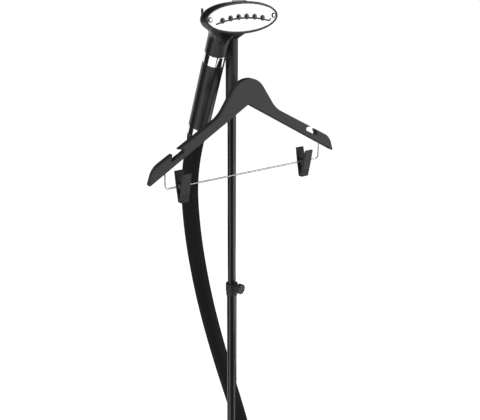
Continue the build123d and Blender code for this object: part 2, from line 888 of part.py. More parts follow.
# Coupling that joins the steam pipe in the handle to the hose
coupling_length = ring_lower_length
nipple_length = cuff_length + 2 * liner_bore
with BuildPart() as hose_coupling:
    with BuildSketch(handle_plane(cuff_start - coupling_length)):
        Circle(core_radius - core_wall - slide_clearance)
    extrude(amount=coupling_length)
    with BuildSketch(handle_plane(cuff_start)):
        Circle(liner_bore - slide_clearance)
    extrude(amount=nipple_length)
    with BuildSketch(handle_plane(cuff_start - coupling_length)):
        Circle(steam_pipe_radius + slide_clearance)
    extrude(amount=coupling_length + nipple_length, mode=Mode.SUBTRACT)
save(hose_coupling, "hose_coupling")

with BuildPart() as hose_cuff_upper:
    with BuildSketch(handle_plane(cuff_start)):
        Circle(cuff_big_radius)
    with BuildSketch(handle_plane(hose_start)):
        Circle(cuff_small_radius)
    loft()
    with BuildSketch(handle_plane(cuff_start)):
        Circle(liner_bore + slide_clearance)
    extrude(amount=cuff_length, mode=Mode.SUBTRACT)
save(hose_cuff_upper, "hose_cuff_upper")

# Steam pipe from the coupling up the handle and forward into the chamber
pipe_start = grip_top + handle_down * cuff_start
pipe_end = plate_centre + plate_back * (plate_thickness + chamber_depth)
pipe_gap_y = pipe_end.Y - pipe_start.Y
pipe_gap_z = pipe_end.Z - pipe_start.Z
pipe_reach = (pipe_gap_y * handle_down.Z - pipe_gap_z * handle_down.Y) / turn_sine
pipe_corner = pipe_end - plate_back * pipe_reach
with BuildPart() as steam_pipe:
    with BuildLine():
        FilletPolyline(pipe_start, pipe_corner, pipe_end, radius=steam_pipe_bend)
    with BuildSketch(handle_plane(cuff_start)):
        ring(steam_pipe_bore, steam_pipe_radius)
    sweep()
save(steam_pipe, "steam_pipe")

# Cradle: a sleeve on the upper tube with a cup, a hook behind the handset's neck and the hanger's tongue
sleeve_bottom = upper_top - sleeve_length
cup_top = upper_top + cup_top_rise
hook_station = (grip_top_z - cup_top + hook_height / 2) / cos(radians(handle_tilt))
hook_centre = grip_top + handle_down * hook_station
mast_bearing = degrees(atan2(-hook_centre.Y, -hook_centre.X))
hook_middle = (hook_inner_radius + hook_outer_radius) / 2
finger_foot = Vector(
    hook_centre.X + hook_middle * cos(radians(hook_end_bearing)),
    hook_centre.Y + hook_middle * sin(radians(hook_end_bearing)),
    cup_top - hook_height,
)
finger_knee = finger_foot + Vector(-finger_reach, 0, finger_knee_rise)
finger_tip = finger_foot + Vector(-finger_reach, 0, finger_rise)
tongue_front_y = hanger_y - hanger_thickness / 2 + tongue_setback
tongue_bottom = hanger_z + tongue_rise

with BuildPart() as head_cradle:
    with BuildSketch(Plane.XZ):
        with BuildLine():
            Polyline(
                (0, sleeve_bottom),
                (sleeve_radius, sleeve_bottom),
                (sleeve_radius, cup_top - cup_height),
                (cup_radius, cup_top - cup_rim),
                (cup_radius, cup_top),
                (0, cup_top),
                close=True,
            )
        make_face()
    revolve(axis=Axis.Z)
    with BuildSketch(level(cup_top - hook_height, hook_centre.X, hook_centre.Y)):
        with BuildLine():
            inner = CenterArc((0, 0), hook_inner_radius, mast_bearing, hook_end_bearing - mast_bearing)
            outer = CenterArc((0, 0), hook_outer_radius, mast_bearing, hook_end_bearing - mast_bearing)
            Line(inner @ 0, outer @ 0)
            Line(inner @ 1, outer @ 1)
        make_face()
    extrude(amount=hook_height)
    with BuildLine():
        FilletPolyline(finger_foot, finger_knee, finger_tip, radius=finger_bend)
    with BuildSketch(Plane(origin=finger_foot, z_dir=finger_knee - finger_foot)):
        Circle(finger_radius)
    sweep()
    tongue_plane = Plane(
        origin=(0, tongue_front_y, tongue_bottom + tongue_height / 2), x_dir=(1, 0, 0), z_dir=(0, -1, 0)
    )
    with BuildSketch(tongue_plane):
        Rectangle(hanger_arm_width, hanger_arm_height)
    extrude(amount=tongue_front_y)
    with BuildSketch(tongue_plane):
        Rectangle(tongue_width, tongue_height)
    extrude(amount=-tongue_thickness)
    with BuildSketch(level(sleeve_bottom)):
        Circle(upper_tube_od / 2 + slide_clearance)
    extrude(amount=sleeve_length, mode=Mode.SUBTRACT)
    with BuildSketch(handle_plane(-dome_neck_station)):
        Circle(handle_radius + cradle_clearance)
    extrude(amount=dome_neck_station + grip_length, mode=Mode.SUBTRACT)
    loft(dome_sections(cradle_clearance), mode=Mode.SUBTRACT)
    with BuildSketch(Plane(origin=(0, 0, sleeve_bottom + sleeve_screw_rise), z_dir=(0, 1, 0))):
        Circle(sleeve_screw_radius + slide_clearance)
    extrude(amount=sleeve_radius, mode=Mode.SUBTRACT)
save(head_cradle, "head_cradle")

with BuildPart() as sleeve_screw:
    screw_start = upper_tube_od / 2 + slide_clearance
    with BuildSketch(
        Plane(origin=(0, screw_start, sleeve_bottom + sleeve_screw_rise), z_dir=(0, 1, 0))
    ):
        Circle(sleeve_screw_radius)
    extrude(amount=sleeve_radius - screw_start)
save(sleeve_screw, "sleeve_screw")

# Hanger, drawn from the front and extruded backwards, with strap notches and a slot for the tongue
flank_slope = tan(radians(hanger_flank_angle))
arm_slope = tan(radians(hanger_arm_angle))
crown_vertex = hanger_crown - hanger_crown_radius + hanger_crown_radius / cos(radians(hanger_flank_angle))
shoulder_x = (crown_vertex - hanger_arm_rise) / (flank_slope - arm_slope)


def arm_top(x):
    return hanger_arm_rise - arm_slope * x


hanger_tip_z = arm_top(arm_end_x) - hanger_end_drop
notch_inner_x = notch_x - notch_lip
notch_mouth_x = notch_x + notch_mouth
notch_outer_x = notch_mouth_x + notch_undercut
notch_points = [
    (notch_mouth_x, arm_top(notch_mouth_x) + notch_drop),
    (notch_x, arm_top(notch_x) + notch_drop),
    (notch_x, arm_top(notch_x)),
    (notch_inner_x, arm_top(notch_x)),
    (notch_inner_x, arm_top(notch_inner_x) - notch_drop),
    (notch_outer_x, arm_top(notch_outer_x) - notch_drop),
    (notch_mouth_x, arm_top(notch_mouth_x)),
]
notch_radii = [0, 0, 0, notch_round, notch_round, notch_round, 0]
right_side = [
    (shoulder_x, arm_top(shoulder_x)),
    (arm_end_x, arm_top(arm_end_x)),
    (hanger_half_span, hanger_tip_z),
]
left_side = [(-x, z) for x, z in reversed(right_side)]
hanger_points = [(0, crown_vertex), *right_side, (0, hanger_fork_rise), *left_side]
right_radii = [hanger_shoulder_radius, hanger_end_radius, hanger_tip_radius]
hanger_radii = [hanger_crown_radius, *right_radii, hanger_fork_radius, *reversed(right_radii)]
hanger_front_y = hanger_y - hanger_thickness / 2
hanger_face = Plane(origin=(0, hanger_front_y, hanger_z), x_dir=(1, 0, 0), z_dir=(0, -1, 0))

with BuildPart() as hanger:
    with BuildSketch(hanger_face):
        with BuildLine():
            FilletPolyline(*hanger_points, radius=hanger_radii, close=True)
        make_face()
    extrude(amount=-hanger_thickness)
    face_edges = hanger.faces().filter_by(Axis.Y).edges()
    fillet(face_edges, radius=hanger_edge_round)
    for side in (-1, 1):
        with BuildSketch(hanger_face):
            with BuildLine():
                FilletPolyline(
                    *[(side * x, z) for x, z in notch_points],
                    radius=notch_radii,
                    close=True,
                )
            make_face()
        extrude(amount=-hanger_thickness, mode=Mode.SUBTRACT)
    slot_top = tongue_rise + tongue_height + seat_clearance
    with BuildSketch(hanger_face.offset(seat_clearance - tongue_setback)):
        with Locations((0, slot_top / 2)):
            Rectangle(tongue_width + 2 * seat_clearance, slot_top)
    extrude(amount=-tongue_thickness - 2 * seat_clearance, mode=Mode.SUBTRACT)
    arm_slot_top = tongue_rise + (tongue_height + hanger_arm_height) / 2 + seat_clearance
    with BuildSketch(hanger_face.offset(-tongue_setback)):
        with Locations((0, arm_slot_top / 2)):
            Rectangle(hanger_arm_width + 2 * seat_clearance, arm_slot_top)
    extrude(amount=-hanger_thickness, mode=Mode.SUBTRACT)
    with BuildSketch(Plane(origin=(0, hanger_y, bar_z))):
        with Locations((-bar_x, 0), (bar_x, 0)):
            Circle(bar_radius + slide_clearance)
    bar_top_z = hanger_z + hanger_fork_rise - bar_x * (hanger_fork_rise - hanger_tip_z) / hanger_half_span
    extrude(amount=bar_top_z + bar_into_hanger + seat_clearance - bar_z, mode=Mode.SUBTRACT)
save(hanger, "hanger")

with BuildPart() as trouser_bar:
    bar_end = bar_top_z + bar_into_hanger
    with BuildLine():
        FilletPolyline(
            (-bar_x, hanger_y, bar_end),
            (-bar_x, hanger_y, bar_z),
            (bar_x, hanger_y, bar_z),
            (bar_x, hanger_y, bar_end),
            radius=bar_bend,
        )
    with BuildSketch(Plane(origin=(-bar_x, hanger_y, bar_end))):
        Circle(bar_radius)
    sweep()
save(trouser_bar, "trouser_bar")

# Clips: a pivot tube on the bar, two jaws hinged on it and a torsion spring between them
ear_inner = clip_width / 2 - 2 * clip_ear - seat_clearance
jaw_facing = clip_jaw_gap / 2


def jaw_outline(facing):
    # Seen along +X: facing is -1 for the front jaw and 1 for the back one
    points = [
        (clip_tab_spread, clip_tab_rise),
        (clip_tab_spread - clip_tab_thickness, clip_tab_rise),
        (clip_waist - clip_waist_thickness, clip_ear_radius),
        (jaw_facing, -clip_jaw_drop + clip_jaw_thickness),
        (jaw_facing, -clip_jaw_drop),
        (jaw_facing + clip_jaw_thickness, -clip_jaw_drop),
        (clip_waist, 0),
    ]
    return [(facing * y, z) for y, z in points]


def clip_jaw(origin, facing, ear_start, name):
    side_plane = Plane(origin=origin, x_dir=(0, 1, 0), z_dir=(1, 0, 0))
    with BuildPart() as jaw:
        with BuildSketch(side_plane):
            with BuildLine():
                Polyline(*jaw_outline(facing), close=True)
            make_face()
        extrude(amount=clip_width / 2, both=True)
        for side in (-1, 1):
            start = side * ear_start if side > 0 else side * (ear_start + clip_ear)
            with BuildSketch(side_plane.offset(start)):
                Circle(clip_ear_radius)
                with BuildLine():
                    Polyline(
                        (0, clip_ear_radius),
                        (facing * (clip_waist - clip_waist_thickness / 2), clip_ear_radius),
                        (facing * (clip_waist - clip_waist_thickness), -2 * clip_ear_radius),
                        (0, -clip_ear_radius),
                        close=True,
                    )
                make_face()
            extrude(amount=clip_ear)
        with BuildSketch(side_plane.offset(-clip_width / 2)):
            Circle(clip_pivot_radius + slide_clearance)
        extrude(amount=clip_width, mode=Mode.SUBTRACT)
        rib_plane = Plane(
            origin=Vector(*origin) + Vector(0, facing * (jaw_facing + clip_jaw_thickness), -clip_jaw_drop),
            x_dir=(1, 0, 0),
            z_dir=(0, facing * clip_jaw_drop, clip_jaw_thickness + jaw_facing - clip_waist),
        )
        rib_up = rib_plane.y_dir * (1 if rib_plane.y_dir.Z > 0 else -1)
        for number in range(1, clip_rib_count + 1):
            rib_origin = rib_plane.origin + rib_up * (number * clip_rib_pitch)
            with BuildSketch(Plane(origin=rib_origin, x_dir=(1, 0, 0), z_dir=rib_plane.z_dir)):
                Rectangle(clip_width, clip_rib_width)
            extrude(amount=-clip_rib_depth, mode=Mode.SUBTRACT)
    save(jaw, name)


# The spring's legs leave the coil along its tangents and end against the finger tabs
leg_share = (clip_leg_rise - clip_ear_radius) / (clip_tab_rise - clip_ear_radius)
waist_inner = clip_waist - clip_waist_thickness
tab_inner = clip_tab_spread - clip_tab_thickness
leg_end_y = waist_inner + (tab_inner - waist_inner) * leg_share - 2 * clip_wire_radius
leg_reach = hypot(leg_end_y, clip_leg_rise)
tangent_angle = degrees(atan2(clip_leg_rise, -leg_end_y)) - degrees(acos(clip_coil_radius / leg_reach))
coil_sweep = 360 * clip_coil_turns - (180 - 2 * tangent_angle)
coil_slope = clip_coil_pitch / (2 * pi * clip_coil_radius)
leg_length = (leg_reach**2 - clip_coil_radius**2) ** 0.5
coil_width = clip_coil_pitch * coil_sweep / 360

for side, word in ((-1, "left"), (1, "right")):
    clip_origin = (side * clip_x, hanger_y, bar_z)
    with BuildPart() as clip_pivot:
        with BuildSketch(Plane(origin=(side * clip_x - clip_width / 2, hanger_y, bar_z), z_dir=(1, 0, 0))):
            ring(bar_radius + slide_clearance, clip_pivot_radius)
        extrude(amount=clip_width)
    save(clip_pivot, f"clip_pivot_{word}")

    clip_jaw(clip_origin, -1, ear_inner + clip_ear + seat_clearance, f"clip_front_jaw_{word}")
    clip_jaw(clip_origin, 1, ear_inner, f"clip_back_jaw_{word}")

    coil_start = radians(180 - tangent_angle)
    coil_end = radians(tangent_angle)
    first = Vector(-coil_width / 2, clip_coil_radius * cos(coil_start), clip_coil_radius * sin(coil_start))
    last = Vector(coil_width / 2, clip_coil_radius * cos(coil_end), clip_coil_radius * sin(coil_end))
    leg_side = coil_slope * leg_length
    first_tip = Vector(-coil_width / 2 - leg_side, leg_end_y, clip_leg_rise) + Vector(*clip_origin)
    last_tip = Vector(coil_width / 2 + leg_side, -leg_end_y, clip_leg_rise) + Vector(*clip_origin)
    coil_plane = Plane(
        origin=Vector(*clip_origin) + Vector(-coil_width / 2, 0, 0),
        x_dir=(0, cos(coil_start), sin(coil_start)),
        z_dir=(1, 0, 0),
    )
    coil = coil_plane.location * Edge.make_helix(clip_coil_pitch, coil_width, clip_coil_radius)
    with BuildPart() as clip_spring:
        with BuildLine():
            Line(first_tip, first + Vector(*clip_origin))
            add(coil)
            Line(last + Vector(*clip_origin), last_tip)
        leg_direction = first + Vector(*clip_origin) - first_tip
        with BuildSketch(Plane(origin=first_tip, z_dir=leg_direction)):
            Circle(clip_wire_radius)
        sweep()
    save(clip_spring, f"clip_spring_{word}")

# Hose from the handset down behind the mast to the port on the housing
hose_points = [
    tuple(grip_top + handle_down * hose_start),
    tuple(grip_top + handle_down * (hose_start + hose_lead)),
    (-37.8, 93.0, 1130.0),
    (-17.5, 85.0, 980.0),
    (20.5, 81.0, 820.0),
    (70.0, 79.0, 650.0),
    (105.0, 78.5, 515.0),
    (hose_port_x, hose_port_y, 345.0),
    (hose_port_x, hose_port_y, port_cuff_top),
]
hose_radii = []
for before, point, after in zip(hose_points, hose_points[1:], hose_points[2:]):
    run_in = Vector(*point) - Vector(*before)
    run_out = Vector(*after) - Vector(*point)
    turn = radians(run_in.get_angle(run_out))
    hose_radii.append(hose_bend_share * min(run_in.length, run_out.length) / tan(turn / 2))
print("hose radii", [round(radius) for radius in hose_radii])


def hose_tube(inner, outer, name):
    with BuildPart() as tube:
        with BuildLine() as path:
            FilletPolyline(*hose_points, radius=hose_radii)
        with BuildSketch(handle_plane(hose_start)):
            ring(inner, outer)
        sweep()
    expected = pi * (outer**2 - inner**2) * path.wires()[0].length
    print(name, "length", round(path.wires()[0].length, 1), "volume share", tube.part.volume / expected)
    save(tube, name)


hose_tube(hose_radius - hose_wall, hose_radius, "steam_hose")
hose_tube(liner_bore, liner_radius, "hose_liner")

with BuildPart() as hose_cuff_lower:
    with BuildSketch(level(housing_top_z + port_flange, hose_port_x, hose_port_y)):
        Circle(port_cuff_radius)
    with BuildSketch(level(port_cuff_top, hose_port_x, hose_port_y)):
        Circle(cuff_small_radius)
    loft()
    with BuildSketch(level(housing_top_z + port_flange, hose_port_x, hose_port_y)):
        Circle(port_spigot_radius + slide_clearance)
    extrude(amount=port_cuff_length, mode=Mode.SUBTRACT)
save(hose_cuff_lower, "hose_cuff_lower")

with BuildPart() as hose_port:
    with BuildSketch(level(housing_top_z, hose_port_x, hose_port_y)):
        Circle(port_flange_radius)
    extrude(amount=port_flange)
    with BuildSketch(level(housing_top_z, hose_port_x, hose_port_y)):
        Circle(port_spigot_radius)
    extrude(amount=port_flange + port_cuff_length + port_spigot_radius)
    with BuildSketch(level(housing_top_z, hose_port_x, hose_port_y)):
        Circle(port_stub_radius)
    extrude(amount=-port_stub)
    with BuildSketch(level(housing_top_z - port_stub, hose_port_x, hose_port_y)):
        Circle(port_bore + slide_clearance)
    extrude(amount=2 * port_stub + port_cuff_length + port_spigot_radius, mode=Mode.SUBTRACT)
save(hose_port, "hose_port")

# Water tank: a tub with its valve spigot and cage, and a top with the fill neck and the bail's lugs


def tank_outline(margin):
    footprint(tank_margin + margin)
    with Locations((0, tank_back_y - margin - base_y + base_depth / 2)):
        Rectangle(base_width, base_depth, mode=Mode.SUBTRACT)


lug_x = bail_pivot_x + bail_width / 2 + seat_clearance
bail_pivot_z = tank_top_z + bail_pivot_rise
valve_floor_z = tank_bottom_z + tank_wall
cage_top_z = valve_floor_z + valve_cage_height
tank_rim_z = tank_top_z - tank_fillet - tank_wall

with BuildPart() as water_tank:
    with BuildSketch(level(tank_bottom_z, 0, base_y)) as tank_outside:
        tank_outline(0)
        fillet(tank_outside.vertices().group_by(Axis.Y)[-1], radius=tank_back_round)
    extrude(amount=tank_rim_z - tank_bottom_z)
    with BuildSketch(level(valve_floor_z, 0, base_y)) as tank_inside:
        tank_outline(tank_wall)
        fillet(tank_inside.vertices().group_by(Axis.Y)[-1], radius=tank_back_round - tank_wall)
    extrude(amount=tank_height, mode=Mode.SUBTRACT)
    with BuildSketch(level(valve_floor_z, valve_x, valve_y)):
        ring(valve_cage_radius - valve_cage_wall, valve_cage_radius)
    extrude(amount=valve_cage_height)
    with BuildSketch(level(cage_top_z, valve_x, valve_y)):
        Circle(valve_cage_radius)
    extrude(amount=-valve_cage_wall)
    with BuildSketch(level(valve_floor_z, valve_x, valve_y)):
        Rectangle(2 * valve_cage_radius, valve_cage_radius)
    extrude(amount=valve_cage_height / 2, mode=Mode.SUBTRACT)
    with BuildSketch(level(cage_top_z - valve_cage_wall, valve_x, valve_y)):
        Circle(valve_guide_radius + 2 * slide_clearance)
    extrude(amount=valve_cage_wall, mode=Mode.SUBTRACT)
    with BuildSketch(level(tank_bottom_z, valve_x, valve_y)):
        Circle(valve_spigot_radius)
    extrude(amount=-valve_spigot)
    with BuildSketch(level(tank_bottom_z - valve_spigot, valve_x, valve_y)):
        Circle(valve_bore)
    extrude(amount=valve_spigot + tank_wall, mode=Mode.SUBTRACT)
save(water_tank, "water_tank")

with BuildPart() as tank_top:
    with BuildSketch(level(tank_rim_z, 0, base_y)) as top_outside:
        tank_outline(0)
        fillet(top_outside.vertices().group_by(Axis.Y)[-1], radius=tank_back_round)
    extrude(amount=tank_top_z - tank_rim_z)
    fillet(tank_top.edges().group_by(Axis.Z)[-1], radius=tank_fillet)
    with BuildSketch(level(tank_rim_z, 0, base_y)) as top_inside:
        tank_outline(tank_wall + tank_fillet)
        fillet(top_inside.vertices().group_by(Axis.Y)[-1], radius=tank_wall)
    extrude(amount=tank_fillet, mode=Mode.SUBTRACT)
    with BuildSketch(level(tank_top_z, 0, cap_y)):
        Circle(fill_radius + fill_neck_wall)
    extrude(amount=fill_neck)
    with BuildSketch(level(tank_top_z - tank_wall, 0, cap_y)):
        Circle(fill_radius)
    extrude(amount=tank_wall + fill_neck, mode=Mode.SUBTRACT)
    for side in (-1, 1):
        lug_plane = Plane(
            origin=(side * lug_x, bail_pivot_y, bail_pivot_z), x_dir=(0, side, 0), z_dir=(side, 0, 0)
        )
        with BuildSketch(lug_plane):
            Circle(lug_radius)
            with Locations((0, -bail_pivot_rise / 2)):
                Rectangle(2 * lug_radius, bail_pivot_rise)
        extrude(amount=lug_thickness)
        with BuildSketch(lug_plane):
            Circle(bail_pin_radius + slide_clearance)
        extrude(amount=lug_thickness, mode=Mode.SUBTRACT)
save(tank_top, "tank_top")

with BuildPart() as tank_cap:
    cap_inner = fill_radius + fill_neck_wall + seat_clearance
    with BuildSketch(level(tank_top_z + seat_clearance, 0, cap_y)):
        Circle(cap_inner + cap_wall)
        with PolarLocations(cap_inner + cap_wall, cap_grooves):
            Circle(cap_groove_radius, mode=Mode.SUBTRACT)
    extrude(amount=cap_height)
    with BuildSketch(level(tank_top_z + seat_clearance, 0, cap_y)):
        Circle(cap_inner)
    extrude(amount=fill_neck, mode=Mode.SUBTRACT)
save(tank_cap, "tank_cap")

with BuildPart() as tank_handle:
    bail_end_y = bail_pivot_y + bail_width / 2
    bail_front_y = bail_pivot_y - bail_reach
    with BuildSketch(level(bail_pivot_z - bail_thickness / 2)):
        with BuildLine() as bail_line:
            FilletPolyline(
                (-bail_pivot_x, bail_end_y),
                (-bail_pivot_x, bail_front_y),
                (bail_pivot_x, bail_front_y),
                (bail_pivot_x, bail_end_y),
                radius=bail_bend,
            )
        trace(bail_line.line, bail_width)
    extrude(amount=bail_thickness)
    with BuildSketch(Plane(origin=(-bail_pivot_x, bail_pivot_y, bail_pivot_z), z_dir=(-1, 0, 0))):
        Circle(bail_pin_radius)
    extrude(amount=bail_width / 2 + lug_thickness)
    with BuildSketch(Plane(origin=(bail_pivot_x, bail_pivot_y, bail_pivot_z), z_dir=(1, 0, 0))):
        Circle(bail_pin_radius)
    extrude(amount=bail_width / 2 + lug_thickness)
save(tank_handle, "tank_handle")

valve_disc_z = valve_floor_z + slide_clearance
with BuildPart() as tank_valve:
    with BuildSketch(level(valve_disc_z, valve_x, valve_y)):
        Circle(valve_disc_radius)
    extrude(amount=valve_disc)
    with BuildSketch(level(valve_disc_z, valve_x, valve_y)):
        Circle(valve_stem_radius)
    extrude(amount=-valve_stem_reach)
    with BuildSketch(level(valve_disc_z + valve_disc, valve_x, valve_y)):
        Circle(valve_guide_radius)
    extrude(amount=valve_guide)
save(tank_valve, "tank_valve")

spring_room = cage_top_z - valve_cage_wall - valve_disc_z - valve_disc
with BuildPart() as valve_spring:
    coil_end_gap = valve_wire_radius + seat_clearance
    coil_height = spring_room - 2 * coil_end_gap
    coil_z = valve_disc_z + valve_disc + coil_end_gap
    with BuildLine(level(coil_z, valve_x, valve_y)) as coil_line:
        Helix(coil_height / valve_coil_turns, coil_height, valve_coil_radius)
    with BuildSketch(Plane(origin=coil_line.line @ 0, z_dir=coil_line.line % 0)):
        Circle(valve_wire_radius)
    sweep()
save(valve_spring, "valve_spring")

with BuildPart() as valve_seat:
    seat_radius = valve_spigot_radius + seat_clearance
    seat_bottom = deck_z - seat_depth - seat_wall
    pin_top = valve_disc_z - valve_stem_reach - seat_clearance
    with BuildSketch(level(seat_bottom, valve_x, valve_y)):
        Circle(valve_spigot_radius + seat_wall - slide_clearance)
    extrude(amount=deck_z - seat_bottom)
    with BuildSketch(level(tray_top_z, valve_x, valve_y)):
        Circle(valve_spigot_radius + seat_wall + seat_flange)
    extrude(amount=-seat_flange)
    with BuildSketch(level(deck_z - seat_depth, valve_x, valve_y)):
        Circle(seat_radius)
    extrude(amount=seat_depth, mode=Mode.SUBTRACT)
    with BuildSketch(level(seat_bottom, valve_x, valve_y)):
        Circle(seat_pin_radius)
    extrude(amount=pin_top - seat_bottom)
    with BuildSketch(level(seat_bottom, valve_x, valve_y + seat_nipple_shift)):
        Circle(seat_nipple_radius)
    extrude(amount=-seat_nipple)
    with BuildSketch(level(seat_bottom - seat_nipple, valve_x, valve_y + seat_nipple_shift)):
        Circle(seat_nipple_bore)
    extrude(amount=seat_nipple + seat_wall, mode=Mode.SUBTRACT)
save(valve_seat, "valve_seat")

# Boiler, heating element and pipes
boiler_lid_z = boiler_bottom_z + boiler_height
boiler_front_y = boiler_y - boiler_depth / 2
element_z = boiler_bottom_z + element_rise
feed_inlet_z = boiler_bottom_z + feed_inlet_rise
with BuildPart() as boiler_body:
    with BuildSketch(level(boiler_bottom_z, boiler_x, boiler_y)):
        RectangleRounded(boiler_width, boiler_depth, boiler_corner)
    extrude(amount=boiler_height)
    with BuildSketch(level(boiler_bottom_z + boiler_wall, boiler_x, boiler_y)):
        RectangleRounded(
            boiler_width - 2 * boiler_wall, boiler_depth - 2 * boiler_wall, boiler_corner - boiler_wall
        )
    extrude(amount=boiler_height, mode=Mode.SUBTRACT)
    with BuildSketch(Plane(origin=(0, boiler_front_y, 0), x_dir=(1, 0, 0), z_dir=(0, -1, 0))):
        with Locations((boiler_x - element_x, element_z), (boiler_x + element_x, element_z)):
            Circle(element_radius + slide_clearance)
        with Locations((valve_x, feed_inlet_z)):
            Circle(feed_radius + slide_clearance)
    extrude(amount=-boiler_wall, mode=Mode.SUBTRACT)
save(boiler_body, "boiler_body")

with BuildPart() as boiler_lid_plate:
    with BuildSketch(level(boiler_lid_z, boiler_x, boiler_y)):
        RectangleRounded(boiler_width, boiler_depth, boiler_corner)
    extrude(amount=boiler_lid)
    with BuildSketch(level(boiler_lid_z, outlet_x, hose_port_y)):
        Circle(outlet_radius + slide_clearance)
    extrude(amount=boiler_lid, mode=Mode.SUBTRACT)
save(boiler_lid_plate, "boiler_lid")

with BuildPart() as heating_element:
    tail_y = boiler_front_y - element_tail
    loop_y = boiler_y + boiler_depth / 2 - boiler_wall - 2 * element_radius
    with BuildLine():
        FilletPolyline(
            (boiler_x - element_x, tail_y, element_z),
            (boiler_x - element_x, loop_y, element_z),
            (boiler_x + element_x, loop_y, element_z),
            (boiler_x + element_x, tail_y, element_z),
            radius=element_bend,
        )
    with BuildSketch(Plane(origin=(boiler_x - element_x, tail_y, element_z), z_dir=(0, 1, 0))):
        Circle(element_radius)
    sweep()
save(heating_element, "heating_element")

with BuildPart() as feed_tube:
    feed_start_y = valve_y + seat_nipple_shift
    feed_riser_y = boiler_front_y - feed_riser_gap
    with BuildLine():
        FilletPolyline(
            (valve_x, feed_start_y, seat_bottom),
            (valve_x, feed_start_y, feed_run_z),
            (valve_x, feed_riser_y, feed_run_z),
            (valve_x, feed_riser_y, feed_inlet_z),
            (valve_x, boiler_front_y + boiler_wall, feed_inlet_z),
            radius=feed_bend,
        )
    with BuildSketch(Plane(origin=(valve_x, feed_start_y, seat_bottom))):
        ring(feed_radius - feed_wall, feed_radius)
    sweep()
save(feed_tube, "feed_tube")

with BuildPart() as outlet_tube:
    outlet_top = boiler_lid_z + boiler_lid + outlet_rise
    with BuildLine():
        FilletPolyline(
            (outlet_x, hose_port_y, boiler_lid_z),
            (outlet_x, hose_port_y, outlet_top),
            (hose_port_x, hose_port_y, outlet_top),
            (hose_port_x, hose_port_y, housing_top_z),
            radius=outlet_bend,
        )
    with BuildSketch(Plane(origin=(outlet_x, hose_port_y, boiler_lid_z))):
        ring(outlet_radius - outlet_wall, outlet_radius)
    sweep()
save(outlet_tube, "outlet_tube")

# Steam dial and its switch, lamp and cord gland
switch_top = housing_top_z - shell_wall
with BuildPart() as steam_dial:
    with BuildSketch(level(housing_top_z + seat_clearance, dial_x, dial_y)):
        Circle(dial_radius)
        with PolarLocations(dial_radius, dial_ribs):
            Circle(dial_rib_radius, mode=Mode.SUBTRACT)
    extrude(amount=dial_height)
    with BuildSketch(level(housing_top_z + seat_clearance, dial_x, dial_y)):
        Circle(dial_shaft_radius)
    extrude(amount=-seat_clearance - shell_wall - switch_height / 2)
    mark_z = housing_top_z + seat_clearance + dial_height
    with BuildSketch(level(mark_z, dial_x, dial_y - dial_radius / 2)):
        Rectangle(dial_mark_width, dial_radius - 2 * dial_rib_radius)
    extrude(amount=-dial_mark_depth, mode=Mode.SUBTRACT)
save(steam_dial, "steam_dial")

with BuildPart() as dial_switch:
    with BuildSketch(level(switch_top, dial_x, dial_y)):
        Rectangle(switch_size, switch_size)
        Circle(dial_shaft_radius + slide_clearance, mode=Mode.SUBTRACT)
    extrude(amount=-switch_height)
save(dial_switch, "dial_switch")

with BuildPart() as lamp_lens:
    with BuildSketch(level(housing_top_z, dial_x, lamp_y)):
        Circle(lamp_head_radius)
    extrude(amount=lamp_head)
    fillet(lamp_lens.edges().group_by(Axis.Z)[-1], radius=lamp_head / 2)
    with BuildSketch(level(housing_top_z, dial_x, lamp_y)):
        Circle(lamp_radius)
    extrude(amount=-lamp_stem)
save(lamp_lens, "lamp_lens")

with BuildPart() as cord_gland:
    with BuildSketch(Plane(origin=(gland_x, base_back_y, gland_z), z_dir=(0, 1, 0))):
        Circle(gland_flange_radius)
    extrude(amount=gland_flange)
    with BuildSketch(Plane(origin=(gland_x, base_back_y, gland_z), z_dir=(0, -1, 0))):
        Circle(gland_radius)
    extrude(amount=gland_inside)
    with BuildSketch(
        Plane(origin=(gland_x, base_back_y + gland_flange, gland_z), z_dir=(0, -1, 0))
    ):
        Circle(gland_bore)
    extrude(amount=gland_flange + gland_inside, mode=Mode.SUBTRACT)
save(cord_gland, "cord_gland")
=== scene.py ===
import json
import math

import bmesh
import bpy
import numpy as np
from mathutils import Matrix, Vector


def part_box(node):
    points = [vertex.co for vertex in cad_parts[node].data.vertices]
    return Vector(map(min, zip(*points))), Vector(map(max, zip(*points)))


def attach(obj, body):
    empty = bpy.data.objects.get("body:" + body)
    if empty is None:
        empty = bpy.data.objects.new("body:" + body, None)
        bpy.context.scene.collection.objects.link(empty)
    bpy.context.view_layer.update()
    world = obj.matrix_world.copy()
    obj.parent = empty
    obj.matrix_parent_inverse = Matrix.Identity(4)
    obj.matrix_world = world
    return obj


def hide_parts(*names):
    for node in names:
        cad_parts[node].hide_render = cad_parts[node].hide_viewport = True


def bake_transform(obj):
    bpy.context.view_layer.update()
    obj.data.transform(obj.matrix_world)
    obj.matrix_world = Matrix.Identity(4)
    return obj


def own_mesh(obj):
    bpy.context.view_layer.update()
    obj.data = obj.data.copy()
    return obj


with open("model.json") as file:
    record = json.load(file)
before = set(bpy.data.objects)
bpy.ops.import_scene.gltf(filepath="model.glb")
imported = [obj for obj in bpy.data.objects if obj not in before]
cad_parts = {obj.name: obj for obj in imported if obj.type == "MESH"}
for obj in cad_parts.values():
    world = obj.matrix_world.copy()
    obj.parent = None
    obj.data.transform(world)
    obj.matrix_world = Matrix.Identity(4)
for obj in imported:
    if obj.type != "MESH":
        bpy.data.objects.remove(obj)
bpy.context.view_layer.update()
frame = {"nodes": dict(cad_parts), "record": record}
nodes = frame["nodes"]
millimetre = 0.001
scene = bpy.context.scene
scene.view_settings.view_transform = "Standard"

